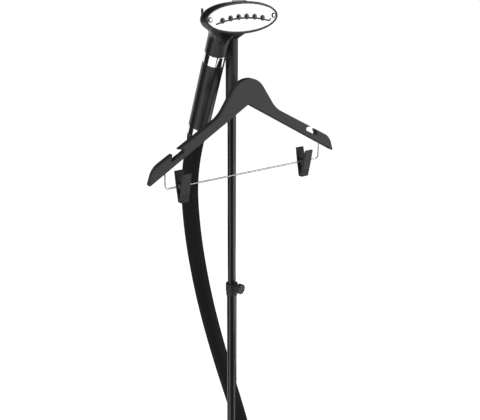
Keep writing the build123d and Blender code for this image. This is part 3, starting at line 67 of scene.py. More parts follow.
# camera, where the photographer stood: in front, to the left and a little above the head
shot = {
    "place": (-0.805, -1.187, 1.726),
    "yaw": 34.8,        # degrees from +Y towards +X
    "dip": 20.3,        # degrees below level
    "roll": 0.21,
    "lens": 57.6,
    "sensor": 36.0,
    "farthest": 200.0,
}


def makeCamera(look):
    # right, up and back make the columns of the turn; a camera looks along its own -Z
    yaw, dip, roll = (math.radians(look[key]) for key in ("yaw", "dip", "roll"))
    ahead = np.array([math.sin(yaw) * math.cos(dip), math.cos(yaw) * math.cos(dip), -math.sin(dip)])
    right = np.array([math.cos(yaw), -math.sin(yaw), 0.0])
    up = np.cross(right, ahead)
    rolledRight = math.cos(roll) * right + math.sin(roll) * up
    rolledUp = math.cos(roll) * up - math.sin(roll) * right
    data = bpy.data.cameras.new("shotCamera")
    data.sensor_fit = "HORIZONTAL"
    data.sensor_width = look["sensor"]
    data.lens = look["lens"]
    data.clip_end = look["farthest"]
    camera = bpy.data.objects.new("shotCamera", data)
    scene.collection.objects.link(camera)
    turn = Matrix(np.column_stack([rolledRight, rolledUp, -ahead]).tolist()).to_4x4()
    camera.matrix_world = Matrix.Translation(look["place"]) @ turn
    scene.camera = camera


makeCamera(shot)


class Wire:
    # a shader socket that takes plain arithmetic; each sign adds a Math node
    def __init__(self, graph, out):
        self.graph = graph
        self.out = out

    def sum(self, operation, first, second):
        return self.graph.node("Math", {"operation": operation}, {0: first, 1: second})

    def __add__(self, other):
        return self.sum("ADD", self, other)

    def __radd__(self, other):
        return self.sum("ADD", other, self)

    def __sub__(self, other):
        return self.sum("SUBTRACT", self, other)

    def __mul__(self, other):
        return self.sum("MULTIPLY", self, other)

    def __gt__(self, other):
        return self.sum("GREATER_THAN", self, other)


class Graph:
    # a node tree; node() makes any node of it
    def __init__(self, tree):
        self.tree = tree

    def node(self, kind, settings=None, sockets=None, out=0):
        made = self.tree.nodes.new("ShaderNode" + kind)
        for key, value in (settings or {}).items():
            setattr(made, key, value)
        for key, value in (sockets or {}).items():
            self.feed(made.inputs[key], value)
        return Wire(self, made.outputs[out]) if len(made.outputs) else made

    def feed(self, socket, value):
        if isinstance(value, Wire):
            self.tree.links.new(value.out, socket)
        else:
            socket.default_value = value

    def tint(self, share, first, second):
        # the first colour where share is 0, the second where it is 1
        return self.node("Mix", {"data_type": "RGBA"}, {0: share, 6: first, 7: second}, out=2)

    def mirrorView(self):
        # 1 for what the eye meets straight, in a mirror or through glass, 0 for light that scatters
        rays = [self.node("LightPath", out=name) for name in
                ("Is Camera Ray", "Is Glossy Ray", "Is Transmission Ray")]
        return (rays[0] + rays[1] + rays[2]) > 0.5


class Finish(Graph):
    # one material: set() fills the sockets of its shader
    def __init__(self, name):
        self.material = bpy.data.materials.new(name)
        self.material.use_nodes = True
        super().__init__(self.material.node_tree)
        self.shader = self.tree.nodes["Principled BSDF"]

    def set(self, **sockets):
        for key, value in sockets.items():
            self.feed(self.shader.inputs[socketNames[key]], value)

    def place(self):
        return self.node("TexCoord", out="Object")

    def uv(self):
        return self.node("TexCoord", out="UV")

    def noise(self, scale, detail=2.0, stretch=(1, 1, 1)):
        # cloud noise of the piece's own place, drawn out along an axis by a stretch under 1
        spot = self.node("Mapping", None, {"Vector": self.place(), "Scale": stretch})
        return self.node("TexNoise", None, {"Vector": spot, "Scale": scale, "Detail": detail})

    def bump(self, height, strength, distance):
        return self.node("Bump", None, {"Height": height, "Strength": strength, "Distance": distance})


socketNames = {
    "base": "Base Color",
    "rough": "Roughness",
    "metal": "Metallic",
    "coat": "Coat Weight",
    "coatRough": "Coat Roughness",
    "spec": "Specular IOR Level",
    "sheen": "Sheen Weight",
    "sheenRough": "Sheen Roughness",
    "clear": "Transmission Weight",
    "ior": "IOR",
    "normal": "Normal",
    "glow": "Emission Color",
    "glowStrength": "Emission Strength",
}


def grey(level, warm=0.0):
    # a colour of even level; warm moves it from blue to red
    return (level + warm, level, level - warm, 1.0)


def mouldedBlack(name, dark, pale, roughLow, roughHigh, grain, grainDepth, spec=0.5):
    # moulded plastic: slow patches of tone, a spark-eroded grain in gloss and in the bump
    made = Finish(name)
    patches = made.noise(scale=9.0, detail=3.0)
    grainNoise = made.noise(scale=grain)
    made.set(
        base=made.tint(patches, grey(dark), grey(pale)),
        rough=roughLow + grainNoise * (roughHigh - roughLow),
        spec=spec,
        normal=made.bump(grainNoise, 0.35, grainDepth),
    )
    return made.material


def drawnMetal(name, dark, pale, roughLow, roughHigh, scale, stretch, depth, warm=0.0, metal=1.0):
    # metal with draw or polish lines: noise stretched along one axis drives tone, gloss and a faint bump
    made = Finish(name)
    lines = made.noise(scale, detail=3.0, stretch=stretch)
    made.set(
        base=made.tint(lines, grey(dark, warm), grey(pale, warm)),
        metal=metal,
        rough=roughLow + lines * (roughHigh - roughLow),
        normal=made.bump(lines, 0.25, depth),
    )
    return made.material


def wirePaintedLitAbove(name, level, band, dark, pale):
    # painted highlight and shade: the wire's colour is bright above its own middle line and dark under it,
    # as if lit from above; share = (height - level) / band + 0.5, kept within 0 and 1
    made = Finish(name)
    height = made.node("SeparateXYZ", None, {0: made.place()}, out=2)
    litShare = made.node("Math", {"operation": "MULTIPLY_ADD", "use_clamp": True},
                      {0: height, 1: 1 / band, 2: 0.5 - level / band})
    lines = made.noise(scale=300.0, detail=3.0, stretch=(0.05, 1, 1))
    made.set(
        base=made.tint(litShare, grey(dark), grey(pale)),
        metal=1.0,
        rough=0.26 + lines * 0.1,
        normal=made.bump(lines, 0.25, 0.00005),
    )
    return made.material


def paintedTube(name):
    # gloss black stoving paint: long soft ripples down the tube under a clear coat
    made = Finish(name)
    ripple = made.noise(scale=60.0, stretch=(1, 1, 0.08))
    made.set(
        base=made.tint(ripple, grey(0.008), grey(0.013)),
        rough=0.2 + ripple * 0.1,
        coat=0.5,
        coatRough=0.08,
        normal=made.bump(ripple, 0.12, 0.0004),
    )
    return made.material


def smokedTank(name):
    # smoked clear plastic: faint flow marks in its gloss
    made = Finish(name)
    flow = made.noise(scale=14.0, stretch=(1, 1, 0.3))
    made.set(
        base=made.tint(flow, grey(0.3), grey(0.38)),
        rough=0.06 + flow * 0.1,
        clear=0.85,
        ior=1.49,
        normal=made.bump(flow, 0.08, 0.0005),
    )
    return made.material


# strands round the hose, strands along one unit of v, and the length of each of those in metres
weave = {"around": 26, "along": 14, "length": 0.004}


def wovenSleeve(name, strands):
    # braid on the hose's own UV: two crossing sets of strands, over and under by turns
    made = Finish(name)
    u = made.node("SeparateXYZ", None, {0: made.uv()})
    v = Wire(made, u.out.node.outputs[1])
    turn = 2 * math.pi
    across, down = u * strands["around"], v * strands["along"]
    first = made.node("Math", {"operation": "SINE"}, {0: (across + down) * turn})
    second = made.node("Math", {"operation": "SINE"}, {0: (across - down) * turn})
    crossing = (first * second) * 0.5 + 0.5
    fuzz = made.noise(scale=900.0)
    made.set(
        base=made.tint(crossing * 0.7 + fuzz * 0.3, grey(0.002), grey(0.009)),
        rough=0.66 + fuzz * 0.25,
        spec=0.22,
        sheen=0.02,
        sheenRough=0.4,
        normal=made.bump(crossing + fuzz * 0.4, 0.5, 0.0005),
    )
    return made.material


def softRubber(name):
    # dull rubber: fine dust in its tone, its gloss and the bump
    made = Finish(name)
    dust = made.noise(scale=260.0, detail=3.0)
    made.set(
        base=made.tint(dust, grey(0.01), grey(0.022)),
        rough=0.5 + dust * 0.3,
        normal=made.bump(dust, 0.25, 0.0003),
    )
    return made.material


def tintedLens(name):
    # red clear plastic: small ripples in its tone and gloss
    made = Finish(name)
    ripples = made.noise(scale=700.0, detail=1.0)
    made.set(
        base=made.tint(ripples, (0.45, 0.02, 0.015, 1), (0.62, 0.05, 0.03, 1)),
        rough=0.12 + ripples * 0.1,
        clear=0.4,
        ior=1.5,
    )
    return made.material


# plastics: two tones, two roughnesses, the grain's scale and depth;
# metals: two tones, two roughnesses, then the lines' scale, stretch and depth
finishes = {
    "black_gloss": mouldedBlack("blackGloss", 0.010, 0.016, 0.24, 0.36, 850.0, 0.00012),
    "black_matte": mouldedBlack("blackMatte", 0.016, 0.024, 0.42, 0.58, 620.0, 0.0002),
    "black_paint": paintedTube("blackPaint"),
    "soleplate_steel": drawnMetal("soleplateSteel", 0.94, 1.0, 0.2, 0.28, 240.0, (0.06, 1, 1), 0.00003,
                                  metal=0.5),
    "chrome": drawnMetal("chromePlate", 0.8, 0.88, 0.03, 0.08, 90.0, (1, 1, 1), 0.00003),
    "plain_steel": drawnMetal("plainSteel", 0.5, 0.66, 0.2, 0.36, 300.0, (1, 1, 1), 0.0001),
    "latch_grey": mouldedBlack("latchGrey", 0.26, 0.34, 0.4, 0.55, 620.0, 0.00015),
    "hose_fabric": wovenSleeve("hoseWeave", weave),
    "soft_rubber": softRubber("softRubber"),
    "cast_alloy": drawnMetal("castAlloy", 0.42, 0.6, 0.4, 0.62, 380.0, (1, 1, 1), 0.0004),
    "pipe_brass": drawnMetal("pipeBrass", 0.5, 0.62, 0.18, 0.3, 200.0, (1, 1, 0.1), 0.0001, warm=0.14),
    "smoke_clear": smokedTank("smokedTank"),
    "lamp_red": tintedLens("lampRed"),
}
# painted shade: a darker, less shiny copy of the black matte for the back jaws, which lie in shade
jawPaintedShade = mouldedBlack("jawPaintedShade", 0.006, 0.010, 0.42, 0.58, 620.0, 0.0002, spec=0.22)
ownFinishes = {
    # the trouser bar gets a painted highlight on its upper half and painted shade on its lower half
    "trouser_bar": wirePaintedLitAbove("barWirePaintedShade", level=1.2868, band=0.0024, dark=0.12, pale=0.72),
    "clip_back_jaw_left": jawPaintedShade,
    "clip_back_jaw_right": jawPaintedShade,
}
for row in frame["record"]["subparts"]:
    slots = nodes[row["node"]].data.materials
    slots.clear()
    slots.append(ownFinishes.get(row["node"], finishes[row["material_slot"]]))
print("finishes:", len(finishes) + len(ownFinishes))


def gridFaces(rows, columns, wrapRows=False, wrapColumns=False):
    # quads between neighbours of a rows by columns grid, counted row by row
    across = np.arange(columns if wrapColumns else columns - 1)
    down = np.arange(rows if wrapRows else rows - 1)
    i, j = np.meshgrid(down, across, indexing="ij")
    nextI, nextJ = (i + 1) % rows, (j + 1) % columns
    corners = [(i, j), (i, nextJ), (nextI, nextJ), (nextI, j)]
    return np.stack([row * columns + column for row, column in corners], -1).reshape(-1, 4)


sharpEdge = math.radians(38)
seamGap = 1e-7


def addPiece(name, points, faces, slot, finish=None):
    # a mesh of the points, smooth but for its sharp edges, in its slot's finish or its own
    mesh = bpy.data.meshes.new(name)
    mesh.from_pydata(points.reshape(-1, 3).tolist(), [], faces.tolist())
    closeSeams(mesh)
    mesh.polygons.foreach_set("use_smooth", np.ones(len(mesh.polygons), bool))
    mesh.set_sharp_from_angle(angle=sharpEdge)
    mesh.materials.append(finish or finishes[slot])
    piece = bpy.data.objects.new(name, mesh)
    scene.collection.objects.link(piece)
    return piece


def closeSeams(mesh):
    # points that fall together at a pole become one
    shape = bmesh.new()
    shape.from_mesh(mesh)
    bmesh.ops.remove_doubles(shape, verts=shape.verts, dist=seamGap)
    shape.to_mesh(mesh)
    shape.free()


hose = {
    "route": [
        (-0.037, 0.07220, 1.33041), (-0.037, 0.10294, 1.25655), (-0.0378, 0.093, 1.130),
        (-0.0175, 0.085, 0.980), (0.0205, 0.081, 0.820), (0.070, 0.079, 0.650),
        (0.105, 0.0785, 0.515), (0.112, 0.078, 0.345), (0.112, 0.078, 0.199),
    ],
    "order": 3,
    "radius": 0.0174,
    "steps": 30,        # along each span of the spline
    "around": 48,
    "seam": 1.115,      # height where the upper half meets the lower half
}


def splinePoints(name, route, order, steps):
    # the smooth line: a NURBS spline with the route's points as its control points
    data = bpy.data.curves.new(name, "CURVE")
    data.dimensions = "3D"
    data.resolution_u = steps
    spline = data.splines.new("NURBS")
    spline.points.add(len(route) - 1)
    spline.points.foreach_set("co", np.column_stack([route, np.ones(len(route))]).ravel())
    spline.order_u = order
    spline.use_endpoint_u = True
    holder = bpy.data.objects.new(name, data)
    mesh = bpy.data.meshes.new_from_object(holder)
    points = np.zeros(len(mesh.vertices) * 3)
    mesh.vertices.foreach_get("co", points)
    bpy.data.objects.remove(holder)
    bpy.data.curves.remove(data)
    bpy.data.meshes.remove(mesh)
    return points.reshape(-1, 3)


def tubeAlong(line, radius, around, across=(1.0, 0, 0)):
    # rings square to the line: side = across made square to the heading, over = heading x side
    heading = np.gradient(line, axis=0)
    heading /= np.linalg.norm(heading, axis=1)[:, None]
    across = np.array(across)
    side = across - heading * (heading @ across)[:, None]
    side /= np.linalg.norm(side, axis=1)[:, None]
    over = np.cross(heading, side)
    angle = np.linspace(0, 2 * np.pi, around, endpoint=False)
    cosine, sine = np.cos(angle)[None, :, None], np.sin(angle)[None, :, None]
    return line[:, None, :] + radius * (cosine * side[:, None, :] + sine * over[:, None, :])


def addHose(part, strands):
    # u goes once round; v counts the run along the hose in units of the weave's length times its strands
    line = splinePoints("hoseLine", part["route"], part["order"], part["steps"])
    run = np.concatenate([[0], np.cumsum(np.linalg.norm(np.diff(line, axis=0), axis=1))])
    rings = tubeAlong(line, part["radius"], part["around"])
    seamAt = int(np.argmin(np.abs(line[:, 2] - part["seam"])))
    halves = {"hoseUpper": slice(0, seamAt + 1), "hoseLower": slice(seamAt, len(line))}
    made = {}
    for name, span in halves.items():
        points = rings[span]
        quads = gridFaces(len(points), part["around"], wrapColumns=True)
        piece = addPiece(name, points, quads, "hose_fabric")
        shares = np.linspace(0, 1, part["around"] + 1)
        column = quads[:, 0] % part["around"]
        row = quads[:, 0] // part["around"]
        u = np.stack([shares[column], shares[column + 1], shares[column + 1], shares[column]], -1)
        along = run[span] / strands["length"] / strands["along"]
        v = np.stack([along[row], along[row], along[row + 1], along[row + 1]], -1)
        layer = piece.data.uv_layers.new(name="weave")
        layer.data.foreach_set("uv", np.stack([u, v], -1).ravel())
        made[name] = (piece, line[span], float(run[span][-1] - run[span][0]))
    return made


hosePieces = addHose(hose, weave)
upper, upperLine, upperLength = hosePieces["hoseUpper"]
lower, lowerLine, lowerLength = hosePieces["hoseLower"]
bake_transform(upper)
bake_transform(lower)
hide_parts("steam_hose", "hose_liner")
print("hose:", round(upperLength + lowerLength, 3), "m")


def lathe(along, radius, centre, axis, around, across=(1.0, 0, 0)):
    # rows of (along, radius) carried round an axis: centre + along * axis + radius * spoke(angle);
    # along may differ from angle to angle
    axis, across = np.array(axis, float), np.array(across, float)
    angle = np.linspace(0, 2 * np.pi, around, endpoint=False)
    spoke = np.cos(angle)[:, None] * across + np.sin(angle)[:, None] * np.cross(axis, across)
    along = np.broadcast_to(np.asarray(along, float).reshape(len(radius), -1), (len(radius), around))
    points = along[:, :, None] * axis + np.asarray(radius, float)[:, None, None] * spoke
    return np.array(centre) + points * millimetre


def ribbedCuff(part):
    # radius falls evenly from the big end to the small one, less a narrow groove between ribs
    share = np.linspace(0, 1, part["rows"])
    groove = np.cos(np.pi * part["ribs"] * share) ** 2
    narrow = np.clip((groove - part["ribShare"]) / (1 - part["ribShare"]), 0, 1)
    plain = part["big"] + (part["small"] - part["big"]) * share
    outer = plain - part["grooveDepth"] * np.sqrt(narrow)
    along = np.concatenate([[0], share * part["length"], [part["length"]]])
    return along, np.concatenate([[part["bore"]], outer, [part["bore"]]])


handleLean = math.radians(22.6)
handleDown = np.array([0, math.sin(handleLean), -math.cos(handleLean)])
gripTop = np.array([-37.0, 5.1, 1491.6]) * millimetre
cuffDrop = 157.6 * millimetre      # from the grip's top, along the handle
cuffs = {
    "cuffUpper": {
        "centre": gripTop + handleDown * cuffDrop, "axis": handleDown, "body": "handset",
        "node": "hose_cuff_upper", "length": 17.0, "big": 19.3, "small": 18.1, "bore": 17.5,
        "ribs": 5, "ribShare": 0.72, "grooveDepth": 0.7, "rows": 72, "around": 56,
    },
    "cuffLower": {
        "centre": np.array([112.0, 78.0, 165.0]) * millimetre, "axis": (0, 0, 1), "body": "base",
        "node": "hose_cuff_lower", "length": 34.0, "big": 20.0, "small": 18.1, "bore": 17.5,
        "ribs": 7, "ribShare": 0.66, "grooveDepth": 0.9, "rows": 110, "around": 56,
    },
}
for name, part in cuffs.items():
    along, radius = ribbedCuff(part)
    points = lathe(along, radius, part["centre"], part["axis"], part["around"])
    piece = addPiece(name, points, gridFaces(len(radius), part["around"], wrapColumns=True), "soft_rubber")
    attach(piece, part["body"])
    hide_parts(part["node"])
print("cuffs:", len(cuffs))

# rubber feet in front: a turned pad with a ring groove in its sole
feet = {
    "places": [(-92.0, -108.0), (92.0, -108.0)],
    "along": [0, 0, 0.6, 0.6, 0, 0, 0.9, 2.4, 8.6, 10, 10],
    "radius": [0, 5.0, 5.6, 7.6, 8.2, 11.6, 12.8, 13, 13, 12.2, 0],
    "around": 48,
}


def joinCopies(copies, faces):
    # the same faces for each copy, counted on from the copy before
    points = np.stack([copy.reshape(-1, 3) for copy in copies])
    steps = np.arange(len(copies))[:, None, None] * points.shape[1]
    return points, (faces[None] + steps).reshape(-1, 4)


def addFeet(part):
    # the same turned pad at each place, on the floor
    upward = (0, 0, 1)
    copies = [lathe(part["along"], part["radius"], np.array([x, y, 0]) * millimetre, upward, part["around"])
              for x, y in part["places"]]
    points, faces = joinCopies(copies, gridFaces(len(part["radius"]), part["around"], wrapColumns=True))
    piece = addPiece("feetPads", points, faces, "soft_rubber")
    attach(piece, "base")
    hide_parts("feet")


addFeet(feet)

# wheels: a spoked hub and a grooved tyre, both turned about the axle
wheels = {
    "offset": 119.0,
    "back": 104.0,
    "height": 25.0,
    "around": 120,
    "hubAlong": [0, 0, 2, 4.5, 5, 1.5, 1, 17, 16.5, 12.5, 12.5, 17, 18, 18],
    "hubRadius": [3.1, 8, 8.8, 10, 17.5, 19.2, 20.2, 20.2, 19.2, 17.6, 10.4, 9, 8, 3.1],
    "spokeRows": [9, 10],       # rows of the outer dish that the spokes lift
    "spokes": 5,
    "spokeLift": 3.0,
    "spokePower": 3,            # a higher power makes narrower spokes
    "tyreAlong": [1, 0.5, 1, 2.8, 5.2, 5.6, 6.4, 6.8, 8.4, 8.6,
                  9.4, 9.6, 11.2, 11.6, 12.4, 12.8, 15.2, 17, 17.5, 17],
    "tyreRadius": [20.2, 22.4, 24.2, 25, 25, 24.2, 24.2, 25, 25, 24.2,
                   24.2, 25, 25, 24.2, 24.2, 25, 25, 24.2, 22.4, 20.2],
}


def addWheel(part, side, word):
    # the dish's rows rise by spokeLift * (0.5 + 0.5 * cos(spokes * angle)) ^ spokePower
    centre = np.array([side * part["offset"], part["back"], part["height"]]) * millimetre
    axis, across = (side, 0, 0), (0, 1.0, 0)
    angle = np.linspace(0, 2 * np.pi, part["around"], endpoint=False)
    along = np.repeat(np.array(part["hubAlong"], float)[:, None], part["around"], 1)
    spokes = (0.5 + 0.5 * np.cos(part["spokes"] * angle)) ** part["spokePower"]
    along[part["spokeRows"]] += part["spokeLift"] * spokes
    hub = lathe(along, part["hubRadius"], centre, axis, part["around"], across)
    faces = gridFaces(len(part["hubRadius"]), part["around"], True, True)
    hubPiece = addPiece(f"wheelHub_{word}", hub, faces, "black_matte")
    tyre = lathe(part["tyreAlong"], part["tyreRadius"], centre, axis, part["around"], across)
    faces = gridFaces(len(part["tyreRadius"]), part["around"], True, True)
    tyrePiece = addPiece(f"wheelTyre_{word}", tyre, faces, "soft_rubber")
    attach(hubPiece, f"wheel_{word}")
    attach(tyrePiece, f"wheel_{word}")
    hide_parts(f"wheel_{word}")


addWheel(wheels, -1, "left")
addWheel(wheels, 1, "right")
print("feet and wheels: turned")


def raisedMarks(centres, along, outward, lengths, widths, height, steps):
    # each mark is a flat-topped pad:
    # centre + u * along + v * across + height * (1 - u^8) * (1 - v^4) * outward
    u = np.linspace(-1, 1, steps[0])[None, :, None, None]
    v = np.linspace(-1, 1, steps[1])[None, None, :, None]
    along, outward = np.asarray(along, float), np.asarray(outward, float)
    across = np.cross(along, outward)
    reach = np.asarray(lengths, float)[:, None, None, None] / 2
    breadth = np.asarray(widths, float)[:, None, None, None] / 2
    spread = u * reach * along[:, None, None, :] + v * breadth * across[:, None, None, :]
    lift = (1 - u ** 8) * (1 - v ** 4) * height * outward[:, None, None, :]
    points = np.asarray(centres, float)[:, None, None, :] + spread + lift
    return joinCopies(list(points * millimetre), gridFaces(*steps))


# scale round the steam dial: bars that grow with the steam
dialScale = {"centre": (-100.0, 66.0, 160.0), "start": 23.5, "bars": 10, "sweep": 250.0, "shortest": 1.6,
             "longest": 5.0, "width": 1.3, "height": 0.25, "steps": (9, 5)}


def addDialScale(part):
    # bars on spokes spread evenly over the sweep, all from the same radius outward
    angle = np.radians(-90 - part["sweep"] / 2 + np.linspace(0, part["sweep"], part["bars"])) * -1
    spoke = np.stack([np.cos(angle), np.sin(angle), np.zeros_like(angle)], -1)
    lengths = np.linspace(part["shortest"], part["longest"], part["bars"])
    centres = np.array(part["centre"]) + spoke * (part["start"] + lengths[:, None] / 2)
    up = np.repeat([[0, 0, 1.0]], part["bars"], 0)
    points, faces = raisedMarks(centres, spoke, up, lengths, np.full(part["bars"], part["width"]),
                                part["height"], part["steps"])
    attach(addPiece("dialScale", points, faces, "latch_grey"), "base")


addDialScale(dialScale)

# level lines on the tank's front wall, every third one long
tankScale = {"side": 46.0, "front": -151.0, "lowest": 88.0, "highest": 208.0, "lines": 13, "every": 3,
             "short": 9.0, "long": 17.0, "width": 1.2, "height": 0.3, "steps": (9, 5)}


def addTankScale(part):
    # lines at even heights that end at the same side
    count = np.arange(part["lines"])
    heights = np.linspace(part["lowest"], part["highest"], part["lines"])
    lengths = np.where(count % part["every"] == 0, part["long"], part["short"])
    centres = np.stack([part["side"] - lengths / 2, np.full(part["lines"], part["front"]), heights], -1)
    sideways = np.repeat([[1.0, 0, 0]], part["lines"], 0)
    forward = np.repeat([[0, -1.0, 0]], part["lines"], 0)
    points, faces = raisedMarks(centres, sideways, forward, lengths, np.full(part["lines"], part["width"]),
                                part["height"], part["steps"])
    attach(addPiece("tankScale", points, faces, "latch_grey"), "tank")


addTankScale(tankScale)

# louvres over the boiler, on the back wall of the housing
louvres = {"middle": 28.0, "back": 153.0, "lowest": 88.0, "highest": 142.0, "rows": 8, "length": 56.0,
           "width": 3.6, "height": 1.5, "steps": (25, 9)}


def addLouvres(part):
    # equal bars at even heights
    rows = part["rows"]
    heights = np.linspace(part["lowest"], part["highest"], rows)
    centres = np.stack([np.full(rows, part["middle"]), np.full(rows, part["back"]), heights], -1)
    sideways = np.repeat([[1.0, 0, 0]], rows, 0)
    backward = np.repeat([[0, 1.0, 0]], rows, 0)
    points, faces = raisedMarks(centres, sideways, backward, np.full(rows, part["length"]),
                                np.full(rows, part["width"]), part["height"], part["steps"])
    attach(addPiece("louvres", points, faces, "black_gloss"), "base")


addLouvres(louvres)

# rubber bead along the seam between tray and cover
bead = {"halfWidth": 150.0, "halfDepth": 155.0, "middle": -2.0, "corner": 90.0, "height": 56.0,
        "proud": 1.1, "tall": 1.6, "cornerSteps": 24, "around": 14}


def addBead(part):
    # an oval carried round the base: each corner is a quarter circle about its own centre
    angle = np.concatenate([np.linspace(quarter, quarter + 0.5 * np.pi, part["cornerSteps"])
                            for quarter in np.arange(4) * 0.5 * np.pi])
    square = np.repeat(np.arange(4), part["cornerSteps"])
    signX = np.array([1, -1, -1, 1])[square]
    signY = np.array([1, 1, -1, -1])[square]
    outX, outY = np.cos(angle), np.sin(angle)
    lineX = signX * (part["halfWidth"] - part["corner"]) + outX * part["corner"]
    lineY = part["middle"] + signY * (part["halfDepth"] - part["corner"]) + outY * part["corner"]
    turn = np.linspace(0, 2 * np.pi, part["around"], endpoint=False)[:, None]
    reach = part["proud"] * np.cos(turn)
    rise = np.broadcast_to(part["height"] + part["tall"] * np.sin(turn), (part["around"], len(angle)))
    points = np.stack([lineX + reach * outX, lineY + reach * outY, rise], -1) * millimetre
    piece = addPiece("baseBead", points, gridFaces(part["around"], len(angle), True, True), "soft_rubber")
    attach(piece, "base")


addBead(bead)
print("base: scales, louvres and bead")

# soleplate: painted shade in each steam hole, a grey funnel with a black throat, and a line of painted
# shade in the groove under them
plateLean = math.radians(5.0)
plateBack = np.array([0, math.cos(plateLean), -math.sin(plateLean)])
plateUp = np.array([0, math.sin(plateLean), math.cos(plateLean)])
plateMiddle = np.array([-37.0, -88.0, 1579.6])
steamHoles = {
    "count": 6, "pitch": 16.6, "arc": 205.0, "rise": 1.5, "around": 28,
    "funnelDepth": [1.9, 1.2, 0.5, -0.02, -0.1, 0.0], "funnelRadius": [2.42, 3.25, 4.1, 4.75, 5.0, 5.2],
    "throatDepth": [2.4, 2.4, 1.85], "throatRadius": [0, 2.2, 2.44],
    "grooveDrop": 2.2, "grooveReach": 55.0, "grooveWidth": 2.8, "grooveProud": 0.08, "grooveSteps": 80,
    "grooveAround": 10, "hookReach": 4.0, "hookRise": 4.2, "hookSteps": 10,
}
# plate screws: a low button head with a bright face, and a flank painted black as the shade of its recess
screwHeads = {
    "reach": 65.7, "around": 32,
    "faceDepth": [-1.7, -1.65, -1.6], "faceRadius": [0, 2.1, 2.5],
    "flankDepth": [-1.6, -1.4, -0.2, 0.1], "flankRadius": [2.5, 2.8, 4.4, 4.6],
}
# painted shade for the plate's recesses: grey on the funnel walls, near black in the groove, black in the
# hole throats and on the screw flanks
funnelShadeFinish = mouldedBlack("funnelPaintedShade", 0.14, 0.2, 0.45, 0.6, 700.0, 0.0001)
grooveShadeFinish = mouldedBlack("groovePaintedShade", 0.025, 0.04, 0.6, 0.75, 700.0, 0.0001)
recessShadeFinish = mouldedBlack("recessPaintedShade", 0.0005, 0.001, 0.8, 0.9, 700.0, 0.0001)


def onPlate(across, rise, proud=0.0):
    # middle + across * X + rise * up the plate - proud * into the plate
    spot = np.asarray(across)[..., None] * np.array([1.0, 0, 0]) + np.asarray(rise)[..., None] * plateUp
    return plateMiddle + spot - np.asarray(proud)[..., None] * plateBack


def holeRise(part, across):
    # the holes lie on a circle: rise - arc + sqrt(arc^2 - across^2)
    return part["rise"] - part["arc"] + np.sqrt(part["arc"] ** 2 - across ** 2)


def addTurned(name, part, word, centres, slot, finish):
    # the same turned shape at each centre on the plate, about the line into it
    depth, radius = part[word + "Depth"], part[word + "Radius"]
    copies = [lathe(depth, radius, centre, plateBack, part["around"]) for centre in centres]
    points, faces = joinCopies(copies, gridFaces(len(radius), part["around"], wrapColumns=True))
    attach(addPiece(name, points, faces, slot, finish), "handset")


def addSteamHoles(part):
    # holes at an even pitch, as many left of the middle as right of it
    across = (np.arange(part["count"]) - (part["count"] - 1) / 2) * part["pitch"]
    centres = onPlate(across, holeRise(part, across)) * millimetre
    # the funnels and throats are painted shade inside each hole
    addTurned("funnels", part, "funnel", centres, "black_matte", funnelShadeFinish)
    addTurned("throats", part, "throat", centres, "black_matte", recessShadeFinish)


def addScrewHeads(part):
    # one head at each end of the plate
    centres = onPlate(np.array([-1, 1]) * part["reach"], np.zeros(2)) * millimetre
    addTurned("screwFaces", part, "face", centres, "plain_steel", finishes["soleplate_steel"])
    # the flanks are painted shade round each head
    addTurned("screwFlanks", part, "flank", centres, "plain_steel", recessShadeFinish)


def addGrooveLine(part):
    # a low strip in painted shade along the groove, which turns up at its right end
    across = np.linspace(-part["grooveReach"], part["grooveReach"], part["grooveSteps"])
    hook = np.linspace(0, 0.5 * np.pi, part["hookSteps"])[1:]
    lineX = np.concatenate([across, part["grooveReach"] + part["hookReach"] * np.sin(hook)])
    hookStart = holeRise(part, part["grooveReach"]) - part["grooveDrop"]
    lineY = np.concatenate([holeRise(part, across) - part["grooveDrop"],
                            hookStart + part["hookRise"] * (1 - np.cos(hook))])
    heading = np.gradient(np.stack([lineX, lineY], -1), axis=0)
    heading /= np.linalg.norm(heading, axis=1)[:, None]
    turn = np.linspace(0, 2 * np.pi, part["grooveAround"], endpoint=False)[None, :]
    sideways = 0.5 * part["grooveWidth"] * np.cos(turn)
    proud = np.broadcast_to(part["grooveProud"] * np.sin(turn), (len(lineX), part["grooveAround"]))
    points = onPlate(lineX[:, None] + heading[:, 1:] * sideways,
                     lineY[:, None] - heading[:, :1] * sideways, proud)
    faces = gridFaces(len(lineX), part["grooveAround"], wrapColumns=True)
    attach(addPiece("grooveLine", points * millimetre, faces, "black_matte", grooveShadeFinish), "handset")


addSteamHoles(steamHoles)
addScrewHeads(screwHeads)
addGrooveLine(steamHoles)
print("soleplate: holes, screws and groove")

# clip springs: a coil on the pivot whose two legs press the finger tabs apart
clipSpring = {"places": {"left": -140.0, "right": 140.0}, "front": -50.0, "height": 1286.5, "wire": 0.5,
              "coil": 3.5, "pitch": 1.5, "turns": 3, "legRise": 19.0, "legEnd": 10.03, "coilSteps": 96,
              "legSteps": 8, "around": 10}


